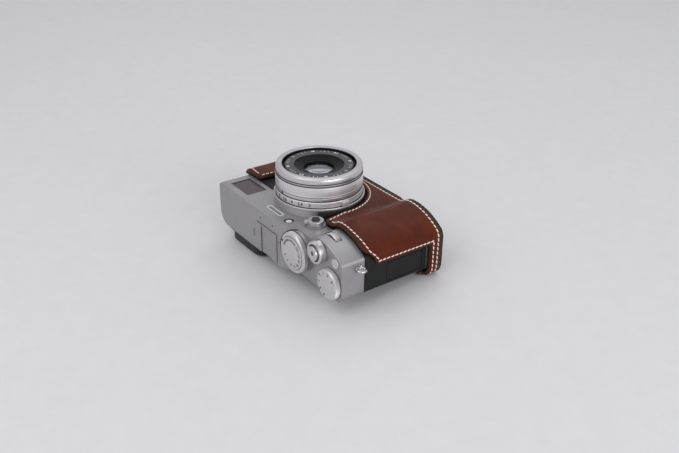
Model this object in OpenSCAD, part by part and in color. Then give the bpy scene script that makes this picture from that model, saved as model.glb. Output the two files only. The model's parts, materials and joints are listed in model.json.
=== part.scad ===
// Compact fixed-lens viewfinder camera in a leather half case, lying on its back.
// Each piece is drawn upright: x across, y depth towards the lens, z height above the base.
// laid() turns it onto its back: the lens then points along +Z and the deck faces -Y.

/* [Body] */
// Width across both ends of the metal body
body_w = 128; // [126:1:156]
// Depth from the rear face to the front face
body_d = 28.8; // [28:0.2:36]
// Height of the high deck above the base
deck_h = 71.7; // [70:0.1:88]
// How far the dial shelf lies below the high deck
shelf_drop = 5.7; // [4:0.1:7]
// Height of the top cover, from its lower edge to the high deck
cover_h = 21.7; // [20:0.1:24]
// Height of the base cover
base_h = 4.5; // [4:0.1:6]
// Wall of the metal covers
wall = 1.4; // [1.1:0.1:1.7]
// Thickness of the black skin round the body
skin_t = 0.6; // [0.4:0.1:0.8]
// Rounding of the rear corner on the viewfinder end
rear_left_r = 9; // [7:0.5:10]
// Rounding of the front corner on the viewfinder end
front_left_r = 3; // [2.5:0.5:5]
// Rounding of the rear corner on the grip end
rear_right_r = 4; // [3:0.5:5]

/* [Grip] */
// How far the grip swell stands before the front face
grip_proud = 3.4; // [3:0.1:6]
// Place of the swell's crest, measured from the grip end
grip_in = 23; // [20:0.5:24]
// Radius of the swell's inner shoulder
grip_nose_r = 9; // [8:0.5:10]
// Radius of the long curve from the crest to the grip end
grip_arc_r = 37; // [34:0.5:40]
// Rounding between the long curve and the grip end
grip_corner_r = 3; // [2.5:0.5:5]

/* [Lens] */
// Place of the optical axis from the middle of the body
lens_x = -6.8; // [-9:0.1:-4]
// Height of the optical axis above the base
lens_h = 32.1; // [31:0.1:34]
// Radius of the bright flange ring
flange_r = 28.5; // [28.2:0.1:29.5]
// Radius of the turning rings
ring_r = 27.2; // [26.6:0.1:27.8]
// Outer radius of the fixed lens tube
tube_r = 24.3; // [23.8:0.1:24.6]
// Wall of the fixed lens tube
tube_wall = 2.8; // [2.2:0.1:3]
// Height of the flange above the front face
flange_t = 5.9; // [5:0.1:7]
// Height of the aperture ring
aperture_t = 4; // [3.6:0.1:5]
// Height of the fixed index ring
index_t = 2.2; // [1.8:0.1:3]
// Height of the focus ring
focus_t = 6.7; // [6:0.1:9]
// Height of the rounded front ring
nose_t = 5.3; // [5:0.1:6]
// Radius of the opening inside the front ring
mouth_r = 23.1; // [23:0.1:23.4]
// Radius of the front glass
glass_r = 9.4; // [8.5:0.1:10]
// Radius of the fully open iris
iris_r = 9; // [8:0.1:9.2]

/* [Dials] */
// Radius of the shutter dial with its lifting collar
shutter_r = 12.7; // [12:0.1:12.9]
// Radius of the turning centre of the shutter dial
shutter_core_r = 10.2; // [9.4:0.1:10.6]
// Radius of the exposure dial
exposure_r = 9.3; // [8:0.1:9.5]
// Radius of the ring round the shutter button
lever_r = 6.8; // [6.5:0.1:7.4]
// Radius of the function button
function_r = 3; // [2.4:0.1:3.2]
// Radius of the two thumb wheels
wheel_r = 7.8; // [7.5:0.1:8.2]

/* [Case] */
// Thickness of the leather with its lining
case_t = 3; // [2.4:0.1:3.6]
// Thickness of the case's sole
sole_t = 5.8; // [4.6:0.1:7]
// Radius of the cut-out round the lens
cutout_r = 29.9; // [29.6:0.1:32]
// Height of the low lip along the back of the case
lip_h = 5.5; // [4:0.1:6]

/* [Fits] */
// Play between turning or sliding pieces
run = 0.06; // [0.04:0.01:0.08]
// Gap round pieces that are dropped into an opening
gap = 0.15; // [0.1:0.01:0.25]
// Gap between the leather and the camera
slack = 0.3; // [0.2:0.05:0.5]

/* [Hidden] */
$fn = 96;
right = body_w / 2;
left = -right;
shelf_h = deck_h - shelf_drop;
band_h = deck_h - cover_h;
grip_x = right - grip_in;
grip_d = body_d + grip_proud;
floor_t = 1.8;

// Lens stack, as depths
flange_d = body_d + flange_t;
aperture_d0 = flange_d + gap;
index_d0 = aperture_d0 + aperture_t + gap;
focus_d0 = index_d0 + index_t + gap;
nose_d0 = focus_d0 + focus_t + gap;
nose_d = nose_d0 + nose_t;
mouth_depth = 1;
face_d = nose_d - 1.3;
name_t = 0.8;
chassis_d0 = 15;
chassis_t = 1.6;
tube_d0 = chassis_d0 + chassis_t;
tube_in = tube_r - tube_wall;

// Iris
blades = 7;
blade_t = 0.25;
blade_step = 0.35;
blade_in = iris_r + 0.3;
blade_out = blade_in + 4.5;
pivot_r = blade_out + 1.6;
iris_cavity_r = pivot_r + 1.9;
iris_d0 = 30;
iris_floor = 1.6;
iris_room = blades * blade_step + 0.25;

// Controls on the dial shelf
shutter_x = right - 41.2;
shutter_d = 15.7;
shutter_top = shelf_h + 6.4;
seat_h = shelf_h + 2.2;
button_x = right - 20.8;
button_d = 24.8;
function_x = right - 5.9;
function_d = 23.5;
exposure_x = right - 9.5;
exposure_d = 9.2;
exposure_top = shelf_h + 4;
shaft_r = 2.5;
collar_r = 5.2;
button_r = 4.35;
ramp_x0 = right - 54.4;
ramp_x1 = right - 41.9;
pocket_r = shutter_r + 0.7;

// Thumb wheels
wheel_t = 3.4;
wheel_post_r = 1.5;
wheel_proud = 0.7;
wheel_slot = wheel_r - 1.6;
front_slot_x = right - 20.5;
front_turn = asin((front_slot_x - grip_x) / grip_arc_r);
front_reach = grip_arc_r + wheel_proud - wheel_r;
front_wheel_x = grip_x + front_reach * sin(front_turn);
front_wheel_d = grip_d - grip_arc_r + front_reach * cos(front_turn);
front_wheel_h = shelf_h - 10.9;
rear_wheel_x = right - 14;
rear_wheel_d = wheel_r - wheel_proud;
rear_wheel_h = shelf_h - 9;
bridge_h = band_h + 2;
bridge_t = 2;

// Finder, flash, lamp and shoe
finder_x = left + 18;
finder_h = deck_h - 11.65;
finder_w = 21.4;
finder_tall = 14.1;
eye_x = left + 26;
eye_h = deck_h - 11.9;
eye_w = 20;
eye_tall = 11;
cup_w = 42;
cup_tall = 17;
cup_d = 10.5;
flash_x = lens_x - 0.45;
flash_h = deck_h - 7.45;
flash_w = 15.9;
flash_tall = 3.9;
lamp_x = lens_x + 15.4;
lamp_h = deck_h - 7;
lamp_r = 1.9;
selector_x = lens_x + 28.8;
selector_h = deck_h - 17.2;
selector_r = 4.8;
shoe_x = lens_x + 0.95;
shoe_w = 23;
shoe_d0 = 0.6;
shoe_d1 = 20;
shoe_floor = deck_h - 3.4;
shoe_plate = 1;
shoe_slot = 2;
shoe_slot_w = 18.8;
shoe_lip = 1;
shoe_neck_w = 12.8;
lug_h = band_h + 4.2;
lug_d = 19.5;
lug_ring_r = 2.5;
lug_wire_r = 0.95;
lug_base_t = 0.8;

// Base and back
bush_d = 8;
bush_r = 5;
screw_r = 3.175;
door_w = 34;
door_x0 = right - 38.5;
door_d0 = 6;
door_d1 = 24.5;
screen_x = -9;
screen_w = 66;
screen_h0 = 7;
screen_tall = 42;
screen_proud = 1.4;
back_t = 2.5;
stick_x = right - 20;
stick_h = lens_h + 4;
key_r = 2.4;
key_x = right - 18;
side_d0 = 4.5;
side_d1 = 16.5;
side_h0 = 8;
side_h1 = 34;

// Case
case_in = skin_t + slack;
case_out = case_in + case_t;
case_top = band_h + 0.3;
end_cut_d = 19.9;
end_cut_h0 = 3.6;
scoop_h = case_top - 6.7;
plate_x0 = lens_x - 26;
plate_x1 = lens_x + 26;
plate_d0 = 0.5;
plate_d1 = 23;
case_screw_r = 6;
tripod_x = lens_x - 15;

// Row origin: under the middle of the box that holds the whole object
low_d = -cup_d;
mid_h = (shutter_top - sole_t) / 2;

// Turns an upright piece onto its back, with the row origin under the middle
module laid() {
    translate([0, mid_h, -low_d]) rotate([90, 0, 0]) children();
}

// Puts a child's z axis along the depth, at one place on the front view
module forward(x, d, h) {
    translate([x, d, h]) rotate([-90, 0, 0]) children();
}

// Puts a child on the optical axis, with its z equal to the depth
module on_axis() {
    forward(lens_x, 0, lens_h) children();
}

// A tube drawn on z
module ring(inner, outer, z0, z1) {
    translate([0, 0, z0]) difference() {
        cylinder(r = outer, h = z1 - z0);
        translate([0, 0, -1]) cylinder(r = inner, h = z1 - z0 + 2);
    }
}

// A block with two corners given
module block(low, high) {
    translate(low) cube(high - low);
}

// A slab with round corners, its outline across x and y
module round_slab(size, r, h) {
    for (sx = [-1, 1], sy = [-1, 1])
        translate([sx * (size.x / 2 - r), sy * (size.y / 2 - r), 0]) cylinder(r = r, h = h);
    translate([-size.x / 2 + r, -size.y / 2, 0]) cube([size.x - 2 * r, size.y, h]);
    translate([-size.x / 2, -size.y / 2 + r, 0]) cube([size.x, size.y - 2 * r, h]);
}

// Plan outline of the body, grown outwards by g, with the grip swell reaching to nose
module plan(g, nose) {
    arc_y = nose - grip_arc_r;
    run_x = right - grip_corner_r - grip_x;
    run_y = sqrt(pow(grip_arc_r - grip_corner_r, 2) - run_x * run_x);
    corner_y = arc_y + run_y;
    reach = (grip_arc_r + g + 6) / (grip_arc_r - grip_corner_r);
    foot = rear_left_r + 1 - arc_y;
    translate([left + front_left_r, body_d - front_left_r]) circle(r = front_left_r + g);
    translate([left + rear_left_r, rear_left_r]) circle(r = rear_left_r + g);
    translate([right - rear_right_r, rear_right_r]) circle(r = rear_right_r + g);
    translate([left - g, rear_left_r])
        square([body_w - rear_right_r + g, body_d - rear_left_r - front_left_r]);
    translate([left + front_left_r, rear_left_r])
        square([grip_x - left - front_left_r, body_d + g - rear_left_r]);
    translate([left + rear_left_r, -g])
        square([body_w - rear_left_r - rear_right_r, rear_left_r + g]);
    translate([grip_x - 1, rear_right_r]) square([right + g - grip_x + 1, corner_y - rear_right_r]);
    translate([grip_x, nose - grip_nose_r]) circle(r = grip_nose_r + g);
    translate([right - grip_corner_r, corner_y]) circle(r = grip_corner_r + g);
    translate([grip_x, arc_y]) intersection() {
        circle(r = grip_arc_r + g, $fn = 180);
        polygon([[0, foot], [0, grip_arc_r + g + 6], [run_x * reach, run_y * reach],
            [run_x * foot / run_y, foot]]);
    }
}

module plan_block(g, nose, h0, h1) {
    translate([0, 0, h0]) linear_extrude(height = h1 - h0) plan(g, nose);
}

// Side view of the covers seen from the front: high deck, ramp and dial shelf
module deck_profile(inset, low) {
    translate([0, 60, 0]) rotate([90, 0, 0]) linear_extrude(height = 80) polygon([
        [left - 5, low],
        [left - 5, deck_h - inset],
        [ramp_x0 - inset / 2, deck_h - inset],
        [ramp_x1 - inset / 2, shelf_h - inset],
        [right + 5, shelf_h - inset],
        [right + 5, low]]);
}

module wheel_post(x, d, h) {
    translate([x, d, bridge_h]) cylinder(r = wheel_post_r, h = h + wheel_t - 0.4 - bridge_h);
}

module top_cover_body() {
    difference() {
        intersection() {
            plan_block(0, grip_d, band_h, deck_h + 1);
            deck_profile(0, band_h - 1);
        }
        intersection() {
            plan_block(-wall, grip_d, band_h - 1, deck_h);
            deck_profile(wall, band_h - 2);
            difference() {
                block([left, -5, band_h - 2], [right, 50, deck_h]);
                block([shoe_x - shoe_w / 2 - wall, -6, shoe_floor - wall],
                    [shoe_x + shoe_w / 2 + wall, shoe_d1 + wall, deck_h + 1]);
                translate([shutter_x, shutter_d, shelf_h - wall])
                    cylinder(r = pocket_r + wall, h = shelf_drop + 2);
            }
        }
        translate([shutter_x, shutter_d, shelf_h]) cylinder(r = pocket_r, h = 20);
    }
    translate([shutter_x, shutter_d, shelf_h - wall]) cylinder(r = shutter_r + 0.1, h = wall + 2.2);
    translate([button_x, button_d, shelf_h - wall]) cylinder(r = collar_r, h = wall + 4.5);
    forward(selector_x, body_d - wall, selector_h) cylinder(r = 6, h = wall + skin_t + 0.2);
}

module top_cover_cuts() {
    forward(lens_x, tube_d0, lens_h) cylinder(r = tube_r + gap, h = 60);
    translate([shutter_x, shutter_d, shelf_h - 4]) cylinder(r = shaft_r + run, h = 10);
    translate([exposure_x, exposure_d, shelf_h - 4]) cylinder(r = 2 + run, h = 10);
    translate([button_x, button_d, shelf_h - 4]) cylinder(r = button_r + run, h = 20);
    translate([function_x, function_d, shelf_h - 4]) cylinder(r = function_r + run, h = 20);
    block([shoe_x - shoe_w / 2 - gap, -1, shoe_floor],
        [shoe_x + shoe_w / 2 + gap, shoe_d1 + gap, deck_h + 2]);
    block([finder_x - finder_w / 2, body_d - 5, finder_h - finder_tall / 2],
        [finder_x + finder_w / 2, body_d + 2, finder_h + finder_tall / 2]);
    forward(eye_x, -1, eye_h) round_slab([eye_w, eye_tall], 2, 5);
    block([flash_x - flash_w / 2, body_d - 5, flash_h - flash_tall / 2],
        [flash_x + flash_w / 2, body_d + 2, flash_h + flash_tall / 2]);
    forward(lamp_x, body_d - 5, lamp_h) cylinder(r = lamp_r + gap, h = 8);
    forward(lamp_x, body_d - 0.6, lamp_h) cylinder(r = 3.1, h = 2);
    forward(selector_x, body_d - 5, selector_h) cylinder(r = 1.2 + run, h = 12);
    forward(selector_x, body_d + skin_t - 1.2, selector_h) cylinder(r = 2.6, h = 4);
    translate([front_wheel_x, front_wheel_d, front_wheel_h]) rotate([0, 0, -front_turn])
        block([-wheel_slot, 2, -0.3], [wheel_slot, wheel_r + 3, wheel_t + 1.1]);
    translate([front_wheel_x, front_wheel_d, front_wheel_h - 0.3])
        cylinder(r = wheel_r + gap, h = wheel_t + 0.6);
    translate([rear_wheel_x, rear_wheel_d, rear_wheel_h])
        block([-wheel_slot, -wheel_r - 3, -0.3], [wheel_slot, -2, wheel_t + 0.3]);
    for (x = [shoe_x - 7, shoe_x + 7])
        translate([x, shoe_d1 + 4, deck_h - 4]) cylinder(r = 0.6, h = 6);
    for (end = [left, right])
        translate([end - 6, lug_d, lug_h]) rotate([0, 90, 0]) cylinder(r = 1.5 + run, h = 12);
}

module top_cover() {
    laid() color([0.60, 0.60, 0.61]) difference() {
        top_cover_body();
        top_cover_cuts();
    }
}

module body_shell() {
    laid() color([0.13, 0.14, 0.14]) difference() {
        plan_block(0, grip_d, base_h, band_h);
        plan_block(-wall, grip_d, base_h - 1, band_h + 1);
        block([left - 5, -5, base_h - 1], [right + 5, back_t, band_h + 1]);
        on_axis() cylinder(r = tube_r + gap, h = 60);
        forward(selector_x, body_d - wall, selector_h) cylinder(r = 6 + gap, h = 6);
        block([right - 5, side_d0 - slack, side_h0 - slack],
            [right + 5, side_d1 + slack, side_h1 + slack]);
    }
}

module leatherette() {
    laid() color([0.10, 0.11, 0.11]) difference() {
        plan_block(skin_t, grip_d, base_h, band_h - 0.1);
        plan_block(0, grip_d, base_h - 1, band_h + 1);
        block([left - 5, -5, base_h - 1], [right + 5, back_t, band_h + 1]);
        on_axis() cylinder(r = flange_r + gap, h = 60);
        forward(selector_x, body_d - 1, selector_h) cylinder(r = 6 + gap, h = 6);
        block([right - 5, side_d0 - slack, side_h0 - slack],
            [right + 5, side_d1 + slack, side_h1 + slack]);
    }
}

module key_hole(x, h) {
    forward(x, -2, h) cylinder(r = key_r + run, h = 8);
}

module rear_cover() {
    laid() color([0.11, 0.12, 0.12]) difference() {
        intersection() {
            plan_block(0, grip_d, base_h, band_h - 0.1);
            block([left - 5, -5, 0], [right + 5, back_t, band_h + 1]);
        }
        block([screen_x - screen_w / 2, -1, screen_h0],
            [screen_x + screen_w / 2, 1, screen_h0 + screen_tall]);
        key_hole(key_x, 14);
        key_hole(key_x, 22);
        key_hole(right - 6, band_h - 8);
        forward(stick_x, -2, stick_h) cylinder(r = 2.6, h = 8);
    }
}

module base_cover() {
    laid() color([0.58, 0.58, 0.59]) difference() {
        plan_block(0, grip_d, 0, base_h);
        plan_block(-wall, grip_d, floor_t, base_h + 1);
        block([door_x0 - gap, door_d0 - gap, -1], [door_x0 + door_w + gap, door_d1 + gap, base_h]);
        translate([lens_x, bush_d, -1]) cylinder(r = bush_r, h = 5);
        screw_places() translate([0, 0, -1]) cylinder(r = 1.5, h = 5);
    }
}

module screw_places() {
    for (p = [[left + 7, 6 + rear_left_r / 2], [left + 7, body_d - 6], [door_x0 - 4, body_d - 4],
            [door_x0 - 4, 5]])
        translate([p.x, p.y, 0]) children();
}

module cover_screws() {
    laid() color([0.25, 0.25, 0.26]) screw_places() difference() {
        cylinder(r = 1.5, h = floor_t + 0.6);
        translate([0, 0, -0.01]) cylinder(r = 0.5, h = 0.7);
    }
}

module chassis() {
    laid() color([0.30, 0.31, 0.33]) {
        difference() {
            union() {
                block([left + 4, chassis_d0, floor_t], [door_x0 - 3, tube_d0, bridge_h]);
                for (sx = [-1, 1], h = [11, band_h - 5])
                    forward(screen_x - 4 + sx * 33, 6.4, h) cylinder(r = 1.5, h = 9);
            }
            on_axis() cylinder(r = 12, h = 40);
            block([lens_x - 7, 0, 0], [lens_x + 7, 40, 8]);
        }
        block([left + 4, 3, bridge_h], [left + 44, tube_d0, bridge_h + bridge_t]);
        difference() {
            block([left + 44, 6, bridge_h], [right - 3, tube_d0, bridge_h + bridge_t]);
            on_axis() cylinder(r = tube_r + 1, h = 60);
        }
        block([front_wheel_x - 4, tube_d0, bridge_h],
            [front_wheel_x + 4, front_wheel_d + 3, bridge_h + bridge_t]);
        wheel_post(front_wheel_x, front_wheel_d, front_wheel_h);
        wheel_post(rear_wheel_x, rear_wheel_d, rear_wheel_h);
    }
}

module main_board() {
    laid() color([0.05, 0.22, 0.10])
        block([left + 9, 4.8, 8], [door_x0 - 4.5, 6.4, band_h - 2]);
}

module sensor_unit() {
    laid() color([0.08, 0.10, 0.16]) {
        block([lens_x - 17, 10, lens_h - 14], [lens_x + 17, 11, lens_h + 14]);
        block([lens_x - 14, 11, lens_h - 13], [lens_x + 14, chassis_d0, lens_h + 13]);
    }
}

module battery() {
    laid() color([0.14, 0.14, 0.15])
        block([door_x0 + 0.8, 9, floor_t + 0.3], [door_x0 + door_w - 1, 24, band_h - 1]);
}

module memory_card() {
    laid() color([0.08, 0.08, 0.09]) difference() {
        block([door_x0 + 1.5, 6.3, floor_t + 0.3], [door_x0 + 25.5, 8.4, floor_t + 32.3]);
        translate([door_x0 + 25.5, 7, floor_t + 32.3]) rotate([0, 45, 0]) cube([5, 5, 5], center = true);
    }
}

module viewfinder_window() {
    laid() color([0.30, 0.25, 0.29, 0.7])
        block([finder_x - finder_w / 2 - 1, body_d - wall - 1, finder_h - finder_tall / 2 - 0.7],
            [finder_x + finder_w / 2 + 1, body_d - wall, finder_h + finder_tall / 2 + 0.7]);
    laid() color([0.30, 0.25, 0.29, 0.7])
        block([finder_x - finder_w / 2 + gap, body_d - wall - 0.5, finder_h - finder_tall / 2 + gap],
            [finder_x + finder_w / 2 - gap, body_d - 0.5, finder_h + finder_tall / 2 - gap]);
}

module viewfinder_prism() {
    laid() color([0.70, 0.75, 0.80, 0.5])
        block([left + 7, 4.5, bridge_h + bridge_t], [left + 40, body_d - wall - 2, deck_h - 5]);
}

module eyepiece_lens() {
    laid() color([0.35, 0.36, 0.42, 0.6])
        forward(eye_x, -1.5, eye_h) round_slab([eye_w - 2 * gap, eye_tall - 2 * gap], 2 - gap, 5.5);
}

module eyecup() {
    laid() color([0.07, 0.07, 0.08]) difference() {
        union() {
            forward(eye_x - 3.5, -4.5, eye_h) round_slab([cup_w, cup_tall], 4.5, 4.5);
            forward(eye_x - 3, -cup_d, eye_h) round_slab([cup_w - 4, cup_tall - 1.5], 7, cup_d - 4);
        }
        forward(eye_x, -cup_d - 1, eye_h) round_slab([eye_w + 1, eye_tall + 0.5], 3, cup_d + 3);
    }
}

module flash_unit() {
    laid() color([0.80, 0.80, 0.82]) difference() {
        block([flash_x - flash_w / 2 - 0.5, shoe_d1 + 2, flash_h - flash_tall / 2 - 0.7],
            [flash_x + flash_w / 2 + 0.5, body_d - wall, flash_h + 2.9]);
        block([flash_x - flash_w / 2 + 0.6, 23, flash_h - flash_tall / 2 + 0.5],
            [flash_x + flash_w / 2 - 0.6, body_d, flash_h + flash_tall / 2 - 0.5]);
    }
}

module flash_window() {
    laid() color([0.86, 0.86, 0.88, 0.8])
        block([flash_x - flash_w / 2 + gap, body_d - wall, flash_h - flash_tall / 2 + gap],
            [flash_x + flash_w / 2 - gap, body_d + 0.1, flash_h + flash_tall / 2 - gap]);
}

module af_lamp() {
    laid() color([0.85, 0.85, 0.85, 0.7]) forward(lamp_x, body_d - 3, lamp_h) {
        cylinder(r = lamp_r, h = 2.7);
        cylinder(r = lamp_r + 1, h = 3 - wall);
    }
}

module hot_shoe() {
    laid() color([0.62, 0.62, 0.63]) difference() {
        block([shoe_x - shoe_w / 2, shoe_d0, shoe_floor],
            [shoe_x + shoe_w / 2, shoe_d1, shoe_floor + shoe_plate + shoe_slot + shoe_lip]);
        block([shoe_x - shoe_slot_w / 2, shoe_d0 - 1, shoe_floor + shoe_plate],
            [shoe_x + shoe_slot_w / 2, shoe_d1 - 1.2, shoe_floor + shoe_plate + shoe_slot]);
        block([shoe_x - shoe_neck_w / 2, shoe_d0 - 1, shoe_floor + shoe_plate],
            [shoe_x + shoe_neck_w / 2, shoe_d1 - 1.2, deck_h + 3]);
    }
}

module hot_shoe_cover() {
    laid() color([0.62, 0.62, 0.64]) {
        block([shoe_x - shoe_slot_w / 2 + run, shoe_d0, shoe_floor + shoe_plate + run],
            [shoe_x + shoe_slot_w / 2 - run, shoe_d1 - 1.4, shoe_floor + shoe_plate + shoe_slot - run]);
        block([shoe_x - shoe_neck_w / 2 + 0.6, shoe_d0, shoe_floor + shoe_plate + 1],
            [shoe_x + shoe_neck_w / 2 - 0.6, shoe_d1 - 1.8, shoe_floor + shoe_plate + shoe_slot + 0.3]);
    }
}

module strap_lug() {
    translate([-2.5, 0, 0]) rotate([0, 90, 0]) cylinder(r = 1.5, h = 2.6);
    rotate([0, 90, 0]) cylinder(r = 2.8, h = lug_base_t);
    intersection() {
        forward(lug_ring_r, 0, 0) rotate_extrude()
            translate([lug_ring_r, 0]) circle(r = lug_wire_r, $fn = 32);
        block([0.1, -5, -5], [10, 5, 5]);
    }
}

module strap_lugs() {
    laid() color([0.80, 0.80, 0.82]) {
        translate([right, lug_d, lug_h]) strap_lug();
        translate([left, lug_d, lug_h]) mirror([1, 0, 0]) strap_lug();
    }
}

module display_panel() {
    laid() color([0.05, 0.05, 0.06])
        block([screen_x - screen_w / 2 + gap, -screen_proud, screen_h0 + gap],
            [screen_x + screen_w / 2 - gap, 1, screen_h0 + screen_tall - gap]);
}

module tripod_bush() {
    laid() color([0.75, 0.66, 0.42]) translate([lens_x, bush_d, 0]) difference() {
        cylinder(r = bush_r, h = 6.5);
        translate([0, 0, -1]) cylinder(r = screw_r, h = 6.5);
    }
}

module lens_flange() {
    laid() color([0.78, 0.78, 0.80]) on_axis()
        ring(tube_r + gap, flange_r, body_d, flange_d);
}

module lens_barrel() {
    laid() color([0.55, 0.55, 0.57]) on_axis() {
        ring(tube_in, tube_r, tube_d0, nose_d0);
        ring(tube_in, ring_r - 0.2, index_d0, index_d0 + index_t);
    }
}

module front_ring() {
    round_r = 2.6;
    outer = ring_r - 0.3;
    laid() color([0.72, 0.72, 0.74]) on_axis() difference() {
        rotate_extrude() {
            translate([tube_in + 1.1, nose_d0]) square([outer - tube_in - 1.1, nose_t - round_r]);
            translate([tube_in + 1.1, nose_d0])
                square([outer - round_r - tube_in - 1.1, nose_t]);
            intersection() {
                translate([outer - round_r, nose_d - round_r]) circle(r = round_r, $fn = 48);
                translate([outer - round_r, nose_d0]) square([round_r + 1, nose_t + 1]);
            }
        }
        translate([0, 0, nose_d - mouth_depth]) cylinder(r = mouth_r, h = 10);
    }
}

module name_ring() {
    laid() color([0.22, 0.22, 0.23]) on_axis()
        ring(15.5, mouth_r - 1.9, face_d - name_t, face_d);
}

module lens_cone() {
    step = 1.6;
    fall = 0.45;
    top = face_d - name_t;
    laid() color([0.05, 0.05, 0.05]) on_axis() {
        ring(16, tube_in + 1, nose_d0, nose_d0 + 0.6);
        ring(16, mouth_r - 2.1, nose_d0, top);
        for (i = [0:3])
            ring(14.4 - i * step, 16.1 - i * step, top - 1.2 - i * fall, top - i * fall);
        ring(glass_r + run, 11.4, top - 5, top - 3 * fall);
    }
}

module front_element() {
    top = face_d - 2.2;
    laid() color([0.40, 0.44, 0.50, 0.5]) on_axis() intersection() {
        translate([0, 0, top - 4]) cylinder(r = glass_r, h = 4);
        translate([0, 0, top - 24]) sphere(r = 24);
    }
}

module rear_element() {
    laid() color([0.40, 0.44, 0.50, 0.5]) on_axis()
        translate([0, 0, iris_d0 - 5]) cylinder(r = iris_r - 0.5, h = 3);
}

module iris_housing() {
    laid() color([0.16, 0.16, 0.17]) on_axis() {
        difference() {
            translate([0, 0, iris_d0])
                cylinder(r = tube_in - run, h = 2 * iris_floor + iris_room);
            translate([0, 0, iris_d0 - 1]) cylinder(r = iris_r, h = 10);
            translate([0, 0, iris_d0 + iris_floor]) cylinder(r = iris_cavity_r, h = iris_room);
        }
        ring(iris_r - 0.5 + run, iris_r + 1.5, iris_d0 - 5, iris_d0);
        for (i = [0:blades - 1])
            rotate([0, 0, i * 360 / blades])
                translate([pivot_r, 0, iris_d0 + iris_floor]) cylinder(r = 0.5, h = iris_room);
    }
}

// One iris blade: an arc band with an ear that turns on its pin, at its own level
module iris_blade(i) {
    wide = 40;
    laid() color([0.10, 0.10, 0.11]) on_axis()
        rotate([0, 0, i * 360 / blades])
        translate([0, 0, iris_d0 + iris_floor + 0.2 + i * blade_step]) difference() {
            union() {
                linear_extrude(height = blade_t) intersection() {
                    difference() {
                        circle(r = blade_out);
                        circle(r = blade_in);
                    }
                    polygon([[0, -1.5], [wide, -1.5], [wide, wide], [-4, wide], [0, 0]]);
                }
                translate([blade_in + 1, -1.2, 0]) cube([pivot_r - blade_in - 1, 2.4, blade_t]);
                translate([pivot_r, 0, 0]) cylinder(r = 1.4, h = blade_t);
            }
            translate([pivot_r, 0, -1]) cylinder(r = 0.5 + run, h = 3);
        }
}

module iris_blade_1() { iris_blade(0); }
module iris_blade_2() { iris_blade(1); }
module iris_blade_3() { iris_blade(2); }
module iris_blade_4() { iris_blade(3); }
module iris_blade_5() { iris_blade(4); }
module iris_blade_6() { iris_blade(5); }
module iris_blade_7() { iris_blade(6); }

module aperture_ring() {
    laid() color([0.66, 0.66, 0.68]) on_axis() difference() {
        union() {
            ring(tube_r + run, ring_r, aperture_d0, aperture_d0 + aperture_t);
            for (sx = [-1, 1]) intersection() {
                block([sx * ring_r - 4, -2.6, aperture_d0], [sx * ring_r + 4, 2.6, aperture_d0 + 3]);
                cylinder(r = flange_r + 0.3, h = 60);
            }
        }
        cylinder(r = tube_r + run, h = 60);
    }
}

module focus_ring() {
    laid() color([0.70, 0.70, 0.72]) on_axis()
        ring(tube_r + run, ring_r, focus_d0, focus_d0 + focus_t);
}

module shutter_dial() {
    laid() color([0.60, 0.60, 0.62]) translate([shutter_x, shutter_d, 0]) {
        translate([0, 0, seat_h + 0.2]) cylinder(r = shutter_core_r, h = shutter_top - seat_h - 0.2);
        translate([0, 0, shelf_h - 4]) cylinder(r = shaft_r, h = seat_h - shelf_h + 4.5);
    }
}

module iso_collar() {
    laid() color([0.62, 0.62, 0.64]) translate([shutter_x, shutter_d, 0]) difference() {
        ring(shutter_core_r + run, shutter_r, seat_h + 0.25, shutter_top - 0.4);
        rotate([0, 0, 158]) translate([shutter_core_r + 1.2, 0, shutter_top - 1])
            cube([1.5, 2, 2], center = true);
    }
}

module shutter_button() {
    laid() color([0.66, 0.66, 0.68]) translate([button_x, button_d, 0]) difference() {
        union() {
            translate([0, 0, shelf_h + 3]) cylinder(r = button_r, h = 3);
            translate([0, 0, shelf_h - 1.2]) cylinder(r = 1.8, h = 5);
        }
        translate([0, 0, shelf_h + 2]) cylinder(r = 1.3, h = 6);
        translate([0, 0, shelf_h + 16.6]) sphere(r = 11);
    }
}

module power_lever() {
    laid() color([0.68, 0.68, 0.70]) translate([button_x, button_d, 0]) difference() {
        union() {
            translate([0, 0, shelf_h + 0.2]) cylinder(r = lever_r, h = 4.4);
            rotate([0, 0, 61]) translate([3, -1.6, shelf_h + 2.2]) cube([lever_r + 0.1, 3.2, 2.4]);
        }
        cylinder(r = collar_r + run, h = 100);
    }
}

module function_button() {
    laid() color([0.62, 0.62, 0.64]) translate([function_x, function_d, shelf_h - 2.6])
        cylinder(r = function_r, h = 3.2);
}

module exposure_dial() {
    laid() color([0.60, 0.60, 0.62]) translate([exposure_x, exposure_d, 0]) {
        translate([0, 0, shelf_h + 0.2]) cylinder(r = exposure_r, h = exposure_top - shelf_h - 0.2);
        translate([0, 0, shelf_h - 4]) cylinder(r = 2, h = 4.5);
    }
}

module finder_lever() {
    low = skin_t + 0.3;
    laid() color([0.70, 0.70, 0.72]) forward(selector_x, body_d, selector_h) difference() {
        union() {
            translate([0, 0, low]) cylinder(r = selector_r, h = 2.6);
            rotate([0, 0, -125]) translate([selector_r - 1, -1.4, low + 0.2]) cube([3, 2.8, 2]);
            translate([0, 0, skin_t - 1]) cylinder(r = 2.5, h = 2);
        }
        translate([0, 0, -6]) cylinder(r = 1.2 + run, h = 20);
        translate([0, 0, low + 1]) cylinder(r = 2.4 + run, h = 3);
    }
}

module finder_lever_button() {
    laid() color([0.20, 0.20, 0.21]) forward(selector_x, body_d, selector_h) {
        translate([0, 0, skin_t + 2.3]) cylinder(r = 2.4, h = 1.4);
        translate([0, 0, -2.6]) cylinder(r = 1.2, h = 5.5);
    }
}

module thumb_wheel() {
    difference() {
        cylinder(r = wheel_r, h = wheel_t);
        translate([0, 0, -1]) cylinder(r = wheel_post_r + run, h = wheel_t + 2);
    }
}

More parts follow.
